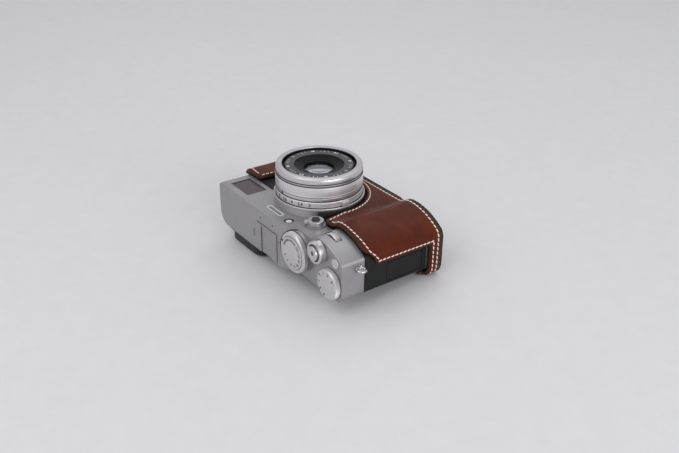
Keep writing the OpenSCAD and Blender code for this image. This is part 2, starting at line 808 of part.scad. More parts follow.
module front_dial() {
    laid() color([0.66, 0.66, 0.68])
        translate([front_wheel_x, front_wheel_d, front_wheel_h]) thumb_wheel();
}

module rear_dial() {
    laid() color([0.20, 0.20, 0.21])
        translate([rear_wheel_x, rear_wheel_d, rear_wheel_h]) thumb_wheel();
}

module focus_stick() {
    laid() color([0.12, 0.12, 0.13]) forward(stick_x, -2.4, stick_h) {
        cylinder(r = 2, h = 1.6);
        cylinder(r = 1, h = 7);
        translate([0, 0, 5.4]) sphere(r = 1.6, $fn = 32);
    }
}

module key(x, h) {
    laid() color([0.16, 0.16, 0.17]) forward(x, -0.9, h) {
        cylinder(r = key_r, h = 3.6);
        translate([0, 0, 2.9 + run]) cylinder(r = 1.4, h = 1.5);
    }
}

module menu_button() { key(key_x, 14); }
module play_button() { key(key_x, 22); }
module quick_button() { key(right - 6, band_h - 8); }

module battery_door() {
    laid() color([0.55, 0.55, 0.56]) difference() {
        block([door_x0, door_d0, 0], [door_x0 + door_w, door_d1, floor_t]);
        block([door_x0 + door_w - 12, 12, 0.8], [door_x0 + door_w - 3, 18, 3]);
        block([door_x0 + door_w - 10.6, 13, -1], [door_x0 + door_w - 4, 17, 1]);
    }
}

module battery_latch() {
    laid() color([0.20, 0.20, 0.21]) {
        block([door_x0 + door_w - 9, 12 + run, 0.8 + run], [door_x0 + door_w - 3.1, 18 - run, floor_t]);
        block([door_x0 + door_w - 8, 13 + run, 0.1], [door_x0 + door_w - 4.1, 17 - run, 1]);
    }
}

module terminal_door() {
    laid() color([0.12, 0.13, 0.13])
        block([right - wall, side_d0, side_h0], [right + skin_t, side_d1, side_h1]);
}

// Front-view shape that the leather leaves free round the lens and above its two wings
module front_window() {
    translate([0, 60, 0]) rotate([90, 0, 0]) linear_extrude(height = 60 - end_cut_d) {
        translate([lens_x, lens_h]) circle(r = cutout_r);
        polygon([[lens_x - 43, deck_h], [lens_x - 43, case_top], [lens_x - 40.8, case_top - 2],
            [lens_x - 40.2, lens_h + 6], [lens_x - cutout_r, lens_h - 4], [lens_x, lens_h],
            [lens_x + cutout_r, lens_h + 4], [lens_x + 32.3, case_top], [lens_x + 32.3, deck_h]]);
    }
}

// Side-view shape cut from the ends of the case under the strap lugs
module end_scoop() {
    translate([left - 10, 0, 0]) rotate([90, 0, 90]) linear_extrude(height = body_w + 20)
        polygon([[-8, scoop_h], [end_cut_d, scoop_h], [end_cut_d + 3.1, scoop_h + 1],
            [end_cut_d + 5.4, scoop_h + 2.4], [end_cut_d + 7.5, scoop_h + 4.7],
            [end_cut_d + 8.4, case_top + 1], [-8, case_top + 1]]);
}

module case_shell() {
    door_x1 = door_x0 + door_w;
    laid() color([0.38, 0.19, 0.14]) difference() {
        plan_block(case_out, grip_d, -sole_t, case_top);
        plan_block(case_in, grip_d, 0, band_h + 1);
        front_window();
        intersection() {
            end_scoop();
            union() {
                block([left - 10, -8, 0], [left + 8, 40, band_h + 2]);
                block([right - 8, -8, 0], [right + 10, 40, band_h + 2]);
            }
        }
        block([right - 3, -8, end_cut_h0], [right + 10, end_cut_d, band_h + 2]);
        block([left - 10, -8, lip_h], [right + 10, 2, band_h + 2]);
        block([door_x0 - 2, door_d0 - 1, -sole_t - 1], [door_x1 + 1, door_d1 + 1, 1]);
        block([plate_x0, plate_d0, -sole_t - 1], [plate_x1, plate_d1, 1]);
    }
}

module case_plate() {
    laid() color([0.55, 0.55, 0.56]) difference() {
        block([plate_x0 + gap, plate_d0 + gap, -sole_t + 0.1], [plate_x1 - gap, plate_d1 - gap, 0]);
        translate([lens_x, bush_d, -sole_t - 1]) cylinder(r = case_screw_r + 0.2, h = 3.5);
        translate([lens_x, bush_d, -sole_t - 1]) cylinder(r = screw_r + 0.2, h = 8);
        translate([tripod_x, 13, -sole_t - 1]) cylinder(r = screw_r, h = 8);
    }
}

module case_screw() {
    laid() color([0.45, 0.45, 0.46]) translate([lens_x, bush_d, 0]) difference() {
        union() {
            translate([0, 0, -sole_t + 0.3]) cylinder(r = case_screw_r, h = 2.1);
            translate([0, 0, -sole_t + 2]) cylinder(r = screw_r - run, h = sole_t + 2.7);
        }
        translate([0, 0, -sole_t]) cube([9, 1.2, 2], center = true);
    }
}

top_cover();
body_shell();
rear_cover();
base_cover();
leatherette();
chassis();
main_board();
sensor_unit();
battery();
memory_card();
viewfinder_window();
viewfinder_prism();
eyepiece_lens();
eyecup();
flash_unit();
flash_window();
af_lamp();
hot_shoe();
strap_lugs();
display_panel();
tripod_bush();
lens_flange();
lens_barrel();
front_ring();
name_ring();
lens_cone();
front_element();
rear_element();
iris_housing();
cover_screws();
case_shell();
case_plate();
case_screw();
shutter_dial();
iso_collar();
shutter_button();
power_lever();
function_button();
exposure_dial();
finder_lever();
finder_lever_button();
front_dial();
aperture_ring();
focus_ring();
iris_blade_1();
iris_blade_2();
iris_blade_3();
iris_blade_4();
iris_blade_5();
iris_blade_6();
iris_blade_7();
battery_door();
battery_latch();
terminal_door();
rear_dial();
focus_stick();
hot_shoe_cover();
menu_button();
play_button();
quick_button();
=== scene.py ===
import json
import math
import random

import bmesh
import bpy
import numpy as np
from mathutils import Matrix, Vector, noise
from mathutils.bvhtree import BVHTree
from mathutils.kdtree import KDTree

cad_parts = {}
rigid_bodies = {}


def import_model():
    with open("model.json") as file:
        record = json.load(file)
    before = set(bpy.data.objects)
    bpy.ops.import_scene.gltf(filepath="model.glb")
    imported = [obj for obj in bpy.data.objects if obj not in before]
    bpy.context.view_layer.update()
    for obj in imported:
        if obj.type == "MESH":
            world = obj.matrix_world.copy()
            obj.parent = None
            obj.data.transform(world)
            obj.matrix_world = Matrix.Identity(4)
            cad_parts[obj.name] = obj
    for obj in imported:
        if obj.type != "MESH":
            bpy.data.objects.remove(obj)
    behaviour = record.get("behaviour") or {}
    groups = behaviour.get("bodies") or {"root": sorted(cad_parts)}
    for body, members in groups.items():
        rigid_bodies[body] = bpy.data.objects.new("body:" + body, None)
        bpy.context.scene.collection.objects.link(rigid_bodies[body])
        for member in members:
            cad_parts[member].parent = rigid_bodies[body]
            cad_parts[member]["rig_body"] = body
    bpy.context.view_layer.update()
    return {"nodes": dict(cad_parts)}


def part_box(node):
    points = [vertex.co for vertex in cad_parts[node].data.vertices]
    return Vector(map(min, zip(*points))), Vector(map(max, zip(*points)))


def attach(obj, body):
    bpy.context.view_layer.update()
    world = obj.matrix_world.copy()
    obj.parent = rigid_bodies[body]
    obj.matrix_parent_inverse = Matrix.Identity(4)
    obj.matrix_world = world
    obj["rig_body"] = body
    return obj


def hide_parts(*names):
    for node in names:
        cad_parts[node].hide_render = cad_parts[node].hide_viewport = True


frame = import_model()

# Sizes are in millimetres unless a line says otherwise, and MM turns them into Blender's metres
MM = 0.001
NODES = frame["nodes"]
ROOT = "camera"
random.seed(7)

# Places in millimetres from the body's middle: across, depth, height above the base
BASE_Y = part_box("base_cover")[1].y
REAR_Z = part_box("rear_cover")[0].z


def at(x, d, h):
    return Vector((x * MM, BASE_Y - h * MM, REAR_Z + d * MM))


def design(p):
    return p.x / MM, (p.z - REAR_Z) / MM, (BASE_Y - p.y) / MM


def middle(node):
    lo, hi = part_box(node)
    return design((lo + hi) / 2)


RIGHT = design(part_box("base_cover")[1])[0]
DECK_H = design(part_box("top_cover")[0])[2]

# Axes of a turned piece: first two across it, third along it
UP = (Vector((1, 0, 0)), Vector((0, 0, 1)), Vector((0, -1, 0)))
OUT = (Vector((1, 0, 0)), Vector((0, 1, 0)), Vector((0, 0, 1)))
BACK = (Vector((1, 0, 0)), Vector((0, -1, 0)), Vector((0, 0, -1)))


def placed(origin, axes):
    m = Matrix.Identity(4)
    for i, axis in enumerate(axes):
        for j in range(3):
            m[j][i] = axis[j]
    return Matrix.Translation(origin) @ m


# ------------------------------------ materials
# Noise scales are per metre; TURN_STRETCH draws the grain out along the tool marks
TURN_STRETCH = 0.0002
PATCH_SCALE = 90.0
SMEAR_SCALE = 260.0


def add(tree, kind, ins=None, **props):
    n = tree.nodes.new("ShaderNode" + kind)
    for k, v in props.items():
        setattr(n, k, v)
    for k, v in (ins or {}).items():
        n.inputs[k].default_value = v
    return n


def ramp(tree, fac, stops, ease="LINEAR"):
    n = add(tree, "ValToRGB")
    n.color_ramp.interpolation = ease
    e = n.color_ramp.elements
    while len(e) < len(stops):
        e.new(0.5)
    for i, (pos, value) in enumerate(stops):
        e[i].position = pos
        c = value if isinstance(value, (tuple, list)) else (value,) * 3
        e[i].color = (*c, 1)
    tree.links.new(fac, n.inputs["Fac"])
    return n.outputs["Color"]


def math_node(tree, op, a, b=0.0):
    n = add(tree, "Math", operation=op)
    for i, v in enumerate((a, b)):
        if isinstance(v, (int, float)):
            n.inputs[i].default_value = v
        else:
            tree.links.new(v, n.inputs[i])
    return n.outputs[0]


def multiplied(tree, a, b):
    n = add(tree, "Mix", data_type="RGBA", blend_type="MULTIPLY")
    n.inputs["Factor"].default_value = 1.0
    tree.links.new(a, n.inputs["A"])
    tree.links.new(b, n.inputs["B"])
    return n.outputs["Result"]


def coords(tree, pattern):
    """Object coordinates in metres, bent into rings where the piece was turned on a lathe."""
    here = add(tree, "TexCoord").outputs["Object"]
    if pattern != "turned":
        return here
    parts = add(tree, "SeparateXYZ")
    tree.links.new(here, parts.inputs[0])
    x2 = math_node(tree, "MULTIPLY", parts.outputs[0], parts.outputs[0])
    y2 = math_node(tree, "MULTIPLY", parts.outputs[1], parts.outputs[1])
    r = math_node(tree, "SQRT", math_node(tree, "ADD", x2, y2))
    turn = math_node(tree, "ARCTAN2", parts.outputs[0], parts.outputs[1])
    join = add(tree, "CombineXYZ")
    tree.links.new(r, join.inputs[0])
    tree.links.new(parts.outputs[2], join.inputs[1])
    tree.links.new(math_node(tree, "MULTIPLY", turn, TURN_STRETCH), join.inputs[2])
    return join.outputs[0]


def finish(name, dark, light, rough, metallic=0.0, pattern="grain", size=0.3, bump=0.006,
           coat=0.0, specular=0.5):
    """A surface of fine grain: size is the grain in mm, bump its height in mm."""
    m = bpy.data.materials.new(name)
    m.use_nodes = True
    t = m.node_tree
    b = t.nodes["Principled BSDF"]
    b.inputs["Metallic"].default_value = metallic
    b.inputs["Specular IOR Level"].default_value = specular
    b.inputs["Coat Weight"].default_value = coat
    b.inputs["Coat Roughness"].default_value = 0.12
    vec = coords(t, pattern)
    fine = add(t, "TexNoise", {"Scale": 1 / (size * MM), "Detail": 3.0, "Roughness": 0.6})
    t.links.new(vec, fine.inputs["Vector"])
    wide = add(t, "TexNoise", {"Scale": PATCH_SCALE, "Detail": 5.0, "Roughness": 0.62})
    here = add(t, "TexCoord").outputs["Object"]
    t.links.new(here, wide.inputs["Vector"])
    mixed = math_node(t, "ADD", math_node(t, "MULTIPLY", fine.outputs[0], 0.45),
                      math_node(t, "MULTIPLY", wide.outputs[0], 0.55))
    colour = ramp(t, mixed, [(0.34, dark), (0.66, light)])
    height = fine.outputs[0]
    if pattern == "pebble":
        cell = add(t, "TexVoronoi", {"Scale": 1 / (size * MM), "Smoothness": 0.6}, feature="SMOOTH_F1")
        t.links.new(here, cell.inputs["Vector"])
        height = ramp(t, cell.outputs["Distance"], [(0.05, 1.0), (0.62, 0.0)], "EASE")
        # The hollows between the pebbles are darkened in colour: painted shade
        pit_shade = ramp(t, cell.outputs["Distance"], [(0.2, 1.0), (0.75, 0.45)])
        colour = multiplied(t, colour, pit_shade)
    t.links.new(colour, b.inputs["Base Color"])
    t.links.new(ramp(t, wide.outputs[0], [(0.3, rough[0]), (0.7, rough[1])]), b.inputs["Roughness"])
    lump = add(t, "Bump", {"Strength": 1.0, "Distance": bump * MM})
    t.links.new(height, lump.inputs["Height"])
    t.links.new(lump.outputs[0], b.inputs["Normal"])
    return m


def glass(name, tint, coat):
    """Clear glass with faint smears."""
    m = bpy.data.materials.new(name)
    m.use_nodes = True
    t = m.node_tree
    b = t.nodes["Principled BSDF"]
    b.inputs["Transmission Weight"].default_value = 1.0
    b.inputs["IOR"].default_value = 1.5
    b.inputs["Coat Weight"].default_value = coat
    b.inputs["Coat Roughness"].default_value = 0.03
    here = add(t, "TexCoord").outputs["Object"]
    smear = add(t, "TexNoise", {"Scale": SMEAR_SCALE, "Detail": 4.0})
    t.links.new(here, smear.inputs["Vector"])
    low = tuple(c * 0.9 for c in tint)
    t.links.new(ramp(t, smear.outputs[0], [(0.35, low), (0.65, tint)]), b.inputs["Base Color"])
    t.links.new(ramp(t, smear.outputs[0], [(0.4, 0.01), (0.75, 0.06)]), b.inputs["Roughness"])
    return m


SATIN = finish("satin silver", (0.325, 0.318, 0.334), (0.39, 0.382, 0.40), (0.38, 0.48),
               metallic=0.75, size=0.16, bump=0.004)
TURNED = finish("turned silver", (0.53, 0.515, 0.535), (0.63, 0.615, 0.635), (0.28, 0.38),
                metallic=0.85, pattern="turned", size=0.12, bump=0.0015)
RING = finish("ring silver", (0.62, 0.605, 0.625), (0.72, 0.705, 0.725), (0.34, 0.46),
              metallic=0.75, pattern="turned", size=0.14, bump=0.002)
DIAL = finish("dial silver", (0.56, 0.55, 0.565), (0.66, 0.65, 0.665), (0.28, 0.38),
              metallic=0.8, pattern="turned", size=0.14, bump=0.003)
WHITE_METAL = finish("bright frame", (0.74, 0.735, 0.75), (0.82, 0.815, 0.83), (0.3, 0.4),
                     metallic=0.3, bump=0.001)
CHROME = finish("polished eyelet", (0.46, 0.455, 0.47), (0.58, 0.575, 0.59), (0.08, 0.16),
                metallic=1.0, bump=0.001)
STEEL = finish("turned steel", (0.35, 0.35, 0.36), (0.45, 0.45, 0.46), (0.25, 0.40),
               metallic=1.0, pattern="turned", size=0.15, bump=0.003)
BLACK_METAL = finish("black metal", (0.010, 0.010, 0.011), (0.024, 0.024, 0.026), (0.38, 0.55),
                     size=0.2, bump=0.004)
CONE_BLACK = finish("anodised black", (0.004, 0.004, 0.005), (0.010, 0.010, 0.011), (0.30, 0.45),
                    pattern="turned", size=0.2, specular=0.14)
NAME_GREY = finish("name ring grey", (0.050, 0.050, 0.052), (0.085, 0.085, 0.088), (0.35, 0.5),
                   metallic=0.35, pattern="turned", size=0.2, bump=0.003)
SKIN = finish("black skin", (0.005, 0.0055, 0.0055), (0.014, 0.015, 0.015), (0.45, 0.62),
              pattern="pebble", size=0.62, bump=0.05, specular=0.26)
RUBBER = finish("eyecup rubber", (0.006, 0.006, 0.007), (0.020, 0.020, 0.022), (0.35, 0.5),
                size=0.35, coat=0.05, specular=0.3)
PLASTIC = finish("black plastic", (0.010, 0.010, 0.011), (0.026, 0.026, 0.028), (0.35, 0.5),
                 size=0.25, bump=0.005)
SCREEN = finish("screen glass", (0.005, 0.005, 0.006), (0.011, 0.011, 0.013), (0.05, 0.16),
                size=1.5, bump=0.0004, coat=0.6)
BOARD = finish("solder resist", (0.006, 0.045, 0.016), (0.012, 0.075, 0.028), (0.3, 0.5),
               size=0.8, bump=0.01)
BRASS = finish("turned brass", (0.55, 0.42, 0.18), (0.68, 0.54, 0.27), (0.22, 0.38),
               metallic=1.0, pattern="turned", size=0.15, bump=0.003)
CAST = finish("die cast", (0.10, 0.10, 0.11), (0.17, 0.17, 0.18), (0.5, 0.7),
              metallic=0.7, size=0.5, bump=0.01)
INK = finish("dial ink", (0.015, 0.015, 0.016), (0.03, 0.03, 0.032), (0.5, 0.7),
             size=0.2, bump=0.001)
WHITE_INK = finish("white ink", (0.75, 0.75, 0.76), (0.85, 0.85, 0.86), (0.5, 0.7),
                   size=0.2, bump=0.001)
THREAD = finish("waxed thread", (0.80, 0.66, 0.56), (0.92, 0.80, 0.70), (0.55, 0.75),
                size=0.18, bump=0.03)
FINDER_GLASS = finish("finder glass", (0.060, 0.040, 0.052), (0.095, 0.066, 0.082), (0.10, 0.18),
                      size=1.2, bump=0.0005, coat=0.15, specular=0.3)
LAMP_WHITE = finish("lamp lens", (0.62, 0.62, 0.63), (0.74, 0.74, 0.75), (0.08, 0.18),
                    size=0.4, bump=0.001, coat=0.6)
PAPER = finish("floor paper", (0.66, 0.655, 0.675), (0.70, 0.695, 0.715), (0.75, 0.9),
               size=0.6, bump=0.01)
CLEAR_GLASS = glass("coated glass", (0.80, 0.84, 0.90), 0.3)
LENS_GLASS = glass("front glass", (0.70, 0.72, 0.80), 0.6)


def leather_surface():
    """Glossy brown grain outside, dark burnished layers on the cut edges, black lining within."""
    m = bpy.data.materials.new("brown leather")
    m.use_nodes = True
    t = m.node_tree
    b = t.nodes["Principled BSDF"]
    b.inputs["Specular IOR Level"].default_value = 0.1
    b.inputs["Coat Weight"].default_value = 0.04
    b.inputs["Coat Roughness"].default_value = 0.16
    here = add(t, "TexCoord").outputs["Object"]
    deep = add(t, "Attribute", attribute_name="deep").outputs["Fac"]
    edge = add(t, "Attribute", attribute_name="edge").outputs["Fac"]
    cloud = add(t, "TexNoise", {"Scale": 55.0, "Detail": 6.0, "Roughness": 0.6})
    t.links.new(here, cloud.inputs["Vector"])
    pore = add(t, "TexVoronoi", {"Scale": 1500.0, "Smoothness": 0.7}, feature="SMOOTH_F1")
    t.links.new(here, pore.inputs["Vector"])
    fine = add(t, "TexNoise", {"Scale": 4200.0, "Detail": 3.0})
    t.links.new(here, fine.inputs["Vector"])
    brown = ramp(t, cloud.outputs[0], [(0.28, (0.057, 0.0096, 0.0036)), (0.52, (0.085, 0.015, 0.0058)),
                                       (0.75, (0.118, 0.024, 0.0098))])
    wobble = math_node(t, "ADD", deep, math_node(t, "MULTIPLY", fine.outputs[0], 0.12))
    layers = ramp(t, wobble, [(0.0, (0.010, 0.010, 0.010)), (0.30, (0.012, 0.011, 0.010)),
                              (0.36, (0.055, 0.035, 0.020)), (0.55, (0.085, 0.055, 0.032)),
                              (0.60, (0.030, 0.018, 0.012)), (0.66, (0.090, 0.050, 0.028)),
                              (0.90, (0.075, 0.028, 0.015)), (1.0, (0.16, 0.045, 0.022))])
    mask = ramp(t, deep, [(0.885, 0.0), (0.935, 1.0)])
    mix = add(t, "Mix", data_type="RGBA")
    t.links.new(mask, mix.inputs["Factor"])
    t.links.new(layers, mix.inputs["A"])
    t.links.new(brown, mix.inputs["B"])
    dim = ramp(t, edge, [(0.0, 1.0), (0.5, 0.8), (1.0, 0.42)])
    t.links.new(multiplied(t, mix.outputs["Result"], dim), b.inputs["Base Color"])
    rough = ramp(t, math_node(t, "ADD", math_node(t, "MULTIPLY", cloud.outputs[0], 0.5),
                              math_node(t, "MULTIPLY", mask, 0.25)),
                 [(0.15, 0.62), (0.40, 0.40), (0.62, 0.30)])
    t.links.new(rough, b.inputs["Roughness"])
    grain = math_node(t, "ADD", math_node(t, "MULTIPLY", pore.outputs["Distance"], -0.6),
                      math_node(t, "MULTIPLY", fine.outputs[0], 0.4))
    lump = add(t, "Bump", {"Strength": 1.0, "Distance": 0.04 * MM})
    t.links.new(grain, lump.inputs["Height"])
    t.links.new(lump.outputs[0], b.inputs["Normal"])
    return m


LEATHER = leather_surface()

# ------------------------------------ mesh tools
WELD = 0.002
BEVEL_ANGLE = 32
INK_H = 0.012
INK_LIFT = 0.005
STROKE = 0.03
TOOTH = (0.0, 0.75, 1.0, 0.75)


def body_of(node):
    return NODES[node]["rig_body"]


def piece(name, mesh, body, mat, hides=(), matrix=None):
    """Adds a showing mesh that rides a body, and stands for the CAD nodes in hides."""
    if isinstance(mesh, bmesh.types.BMesh):
        mesh = mesh_of(mesh, name)
    o = bpy.data.objects.new(name, mesh)
    bpy.context.scene.collection.objects.link(o)
    if matrix is not None:
        o.matrix_world = matrix
    mesh.materials.append(mat)
    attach(o, body)
    if hides:
        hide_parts(*hides)
    return o


def soften(points, r, steps=3, closed=False):
    """Rounds the corners of a profile; each point is (radius, height) or (radius, height, r)."""
    out = []
    n = len(points)
    for i, p in enumerate(points):
        rr = p[2] if len(p) > 2 else r
        here = Vector(p[:2])
        if rr <= 0 or (not closed and i in (0, n - 1)):
            out.append(tuple(here))
            continue
        a = Vector(points[i - 1][:2]) - here
        b = Vector(points[(i + 1) % n][:2]) - here
        cut = min(rr, a.length * 0.45, b.length * 0.45)
        a, b = here + a.normalized() * cut, here + b.normalized() * cut
        for k in range(steps + 1):
            s = k / steps
            out.append(tuple((1 - s) ** 2 * a + 2 * s * (1 - s) * here + s * s * b))
    return out


def lathe_into(bm, profile, segs=128, closed=False, knurl=None):
    """Turns a profile in mm about z. knurl = (teeth, depth, low, high) cuts teeth between heights."""
    teeth, bite, low, high = knurl or (0, 0, 0, 0)
    if knurl:
        segs = teeth * len(TOOTH)
    rows = []
    top_r = max(p[0] for p in profile)
    for r, z in profile:
        if r < 1e-6:
            rows.append([bm.verts.new((0, 0, z * MM))])
            continue
        depth = bite if low <= z <= high and r > top_r - bite * 1.4 else 0
        row = []
        for i in range(segs):
            a = 2 * math.pi * i / segs
            rr = r - depth * TOOTH[i % len(TOOTH)]
            row.append(bm.verts.new((rr * MM * math.cos(a), rr * MM * math.sin(a), z * MM)))
        rows.append(row)
    pairs = list(zip(rows, rows[1:])) + ([(rows[-1], rows[0])] if closed else [])
    for lo, hi in pairs:
        for i in range(segs):
            j = (i + 1) % segs
            if len(lo) == 1 and len(hi) == 1:
                continue
            if len(lo) == 1:
                bm.faces.new((lo[0], hi[i], hi[j]))
            elif len(hi) == 1:
                bm.faces.new((lo[j], lo[i], hi[0]))
            else:
                bm.faces.new((lo[i], hi[i], hi[j], lo[j]))


def box_into(bm, low, high, round_r=0.3, matrix=None):
    """A block in mm with rounded edges."""
    low, high = Vector(low) * MM, Vector(high) * MM
    made = bmesh.ops.create_cube(bm, size=1.0)["verts"]
    size, mid = high - low, (high + low) / 2
    for v in made:
        v.co = Vector((v.co.x * size.x, v.co.y * size.y, v.co.z * size.z)) + mid
    edges = {e for v in made for e in v.link_edges}
    if round_r > 0:
        res = bmesh.ops.bevel(bm, geom=list(edges), offset=round_r * MM, segments=3,
                              affect="EDGES", profile=0.5)
        made = list({v for f in res["faces"] for v in f.verts})
    if matrix is not None:
        for v in made:
            v.co = matrix @ v.co


def border_into(bm, lo, hi, width, low, high, round_r):
    """Four bars in mm round the inside of a rectangle, between two heights."""
    for x0, x1, y0, y1 in ((lo.x, hi.x, lo.y, lo.y + width), (lo.x, hi.x, hi.y - width, hi.y),
                           (lo.x, lo.x + width, lo.y, hi.y), (hi.x - width, hi.x, lo.y, hi.y)):
        box_into(bm, (x0, y0, low), (x1, y1, high), round_r)


def mesh_of(bm, name, sharp=35):
    bmesh.ops.recalc_face_normals(bm, faces=bm.faces)
    mesh = bpy.data.meshes.new(name)
    bm.to_mesh(mesh)
    bm.free()
    for p in mesh.polygons:
        p.use_smooth = True
    mesh.set_sharp_from_angle(angle=math.radians(sharp))
    return mesh


def turned(name, node, axes, profile, mat, origin, closed=False, knurl=None, soft=0.15,
           extra=None, segs=128):
    """A turned piece that stands for a CAD node; its profile starts at origin."""
    bm = bmesh.new()
    lathe_into(bm, soften(profile, soft, closed=closed), segs, closed, knurl)
    if extra:
        extra(bm)
    return piece(name, bm, body_of(node), mat, (node,),
                 placed(origin, axes))


def foot(node, axes):
    """Middle of a round node's foot, with its radius and height in mm."""
    lo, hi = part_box(node)
    mid = (lo + hi) / 2
    size = (hi - lo) / MM
    if axes is UP:
        return Vector((mid.x, hi.y, mid.z)), size.x / 2, size.y
    if axes is OUT:
        return Vector((mid.x, mid.y, lo.z)), size.x / 2, size.z
    return Vector((mid.x, mid.y, hi.z)), size.x / 2, size.z


def shade(node, mat, bevel=0.0, segments=2):
    """Gives a CAD node its material, and rounds its edges without changing its mesh."""
    o = NODES[node]
    o.data.materials.clear()
    o.data.materials.append(mat)
    for p in o.data.polygons:
        p.use_smooth = False
        p.material_index = 0
    if bevel:
        w = o.modifiers.new("weld", "WELD")
        w.merge_threshold = WELD * MM
        b = o.modifiers.new("bevel", "BEVEL")
        b.width = bevel * MM
        b.segments = segments
        b.limit_method = "ANGLE"
        b.angle_limit = math.radians(BEVEL_ANGLE)
        b.use_clamp_overlap = True
    return o


def numeral(text, size):
    """Points and faces of a plain number, centred, size in mm."""
    curve = bpy.data.curves.new("numeral", "FONT")
    curve.body = text
    curve.size = size * MM
    curve.align_x = "CENTER"
    curve.align_y = "CENTER"
    curve.extrude = INK_H * MM
    curve.offset = STROKE * size * MM
    o = bpy.data.objects.new("numeral", curve)
    bpy.context.scene.collection.objects.link(o)
    dg = bpy.context.evaluated_depsgraph_get()
    mesh = bpy.data.meshes.new_from_object(o.evaluated_get(dg))
    verts = [v.co.copy() for v in mesh.vertices]
    faces = [tuple(p.vertices) for p in mesh.polygons]
    bpy.data.objects.remove(o)
    bpy.data.curves.remove(curve)
    bpy.data.meshes.remove(mesh)
    return verts, faces


def stamp(bm, text, size, where):
    """where(v) maps a point of the flat number to the piece."""
    verts, faces = numeral(text, size)
    made = [bm.verts.new(where(v)) for v in verts]
    for f in faces:
        bm.faces.new([made[i] for i in f])


def on_disc(r, angle, z):
    """Numbers stand on a disc at radius r in mm, with their tops outwards."""
    a = math.radians(angle)
    out = Vector((math.cos(a), math.sin(a), 0))
    right = out.cross(Vector((0, 0, 1)))
    base = out * r * MM + Vector((0, 0, z * MM))

    def where(v):
        return base + right * v.x + out * v.y + Vector((0, 0, v.z))
    return where


def on_drum(r, angle, z):
    """Numbers wrap round a cylinder of radius r, with their tops towards +z."""
    def where(v):
        a = math.radians(angle) + v.x / (r * MM)
        rr = r * MM + v.z
        return Vector((rr * math.cos(a), rr * math.sin(a), z * MM + v.y))
    return where


# ------------------------------------ lens
# Every lens piece stands on its own node's foot, on the lens axis, and is measured from there
AXIS = foot("front_ring", OUT)[0]
TUBE_IN = 21.5
TUBE_R = 24.3
TUBE_BORE = 24.36
RING_R = foot("focus_ring", OUT)[1]
FLANGE_R = foot("lens_flange", OUT)[1]
NOSE_R = foot("front_ring", OUT)[1]
NOSE_BORE = 22.6
MOUTH_R = 23.1
NAME_H = 0.8
NAME_R = 19.4
NAME_TICKS = 48
TICKS_PER_MARK = 6
FINE_SEGS = 160


def lens_foot(node):
    lo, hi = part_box(node)
    return Vector((AXIS.x, AXIS.y, lo.z)), (hi.z - lo.z) / MM


def flange():
    """A silver collar; where it stands over the skin, its foot is black."""
    o, h = lens_foot("lens_flange")
    foot_h, inset = h - 1.5, 0.35
    turned("flange_ring", "lens_flange", OUT,
           [(TUBE_BORE + 0.1, 0), (FLANGE_R - inset, 0), (FLANGE_R - inset, foot_h, 0.05),
            (FLANGE_R, h - 1.3, 0.1), (FLANGE_R, h, 0.5), (RING_R + 0.55, h, 0.1),
            (RING_R + 0.3, h - 0.5, 0.1), (TUBE_BORE + 0.1, h - 0.5)],
           TURNED, o, closed=True)
    bm = bmesh.new()
    skirt = [(FLANGE_R - 0.5, 0), (FLANGE_R - 0.05, 0), (FLANGE_R - 0.05, foot_h),
             (FLANGE_R - 0.5, foot_h)]
    lathe_into(bm, soften(skirt, 0.15, closed=True), FINE_SEGS, closed=True)
    skin_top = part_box("leatherette")[0].y - AXIS.y + 0.5 * MM
    bmesh.ops.delete(bm, geom=[v for v in bm.verts if v.co.y < skin_top], context="VERTS")
    piece("flange_skirt", bm, ROOT, BLACK_METAL, matrix=placed(o, OUT))


def tabs(bm):
    """The two finger tabs of the aperture ring, sunk into its wall."""
    for side, sunk in ((-1, 1.45), (1, 0.9)):
        low = side * RING_R - sunk
        box_into(bm, (low, -2.6, 0.05), (low + 2.35, 2.6, 3.0), 0.35)


def aperture_ring():
    o, h = lens_foot("aperture_ring")
    step = 0.22
    turned("aperture_scale", "aperture_ring", OUT,
           [(TUBE_BORE, 0), (RING_R, 0, 0.3), (RING_R, h - 0.75, 0.1),
            (RING_R - step, h - 0.55, 0.05), (RING_R - step, h, 0.15), (TUBE_BORE, h)],
           RING, o, closed=True, extra=tabs)
    bm = bmesh.new()
    for k, text in enumerate(("16", "11", "8", "5.6", "4", "2.8", "2")):
        stamp(bm, text, 2.9, on_drum(RING_R + INK_LIFT, -122 + 12.5 * k, 1.7))
    piece("aperture_numbers", bm, body_of("aperture_ring"), INK, matrix=placed(o, OUT))


def lens_tube():
    """The fixed tube shows as an index band with a dot, between the two rings that turn."""
    o, h = lens_foot("lens_barrel")
    low = (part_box("aperture_ring")[1].z - o.z) / MM + 0.15
    high = (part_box("focus_ring")[0].z - o.z) / MM - 0.15
    band_r = RING_R - 0.2
    turned("lens_tube", "lens_barrel", OUT,
           [(TUBE_IN, 0), (TUBE_R, 0), (TUBE_R, low, 0), (band_r, low, 0.35),
            (band_r, high, 0.35), (TUBE_R, high, 0), (TUBE_R, h), (TUBE_IN, h)],
           TURNED, o, closed=True)
    bm = bmesh.new()
    lathe_into(bm, [(0, 0.08), (0.8, 0.08), (0.9, 0), (0.9, -0.3)], 32)
    dot = placed(o + Vector((0, -band_r * MM, (low + high) / 2 * MM)), UP)
    piece("index_dot", bm, ROOT, INK, matrix=dot)


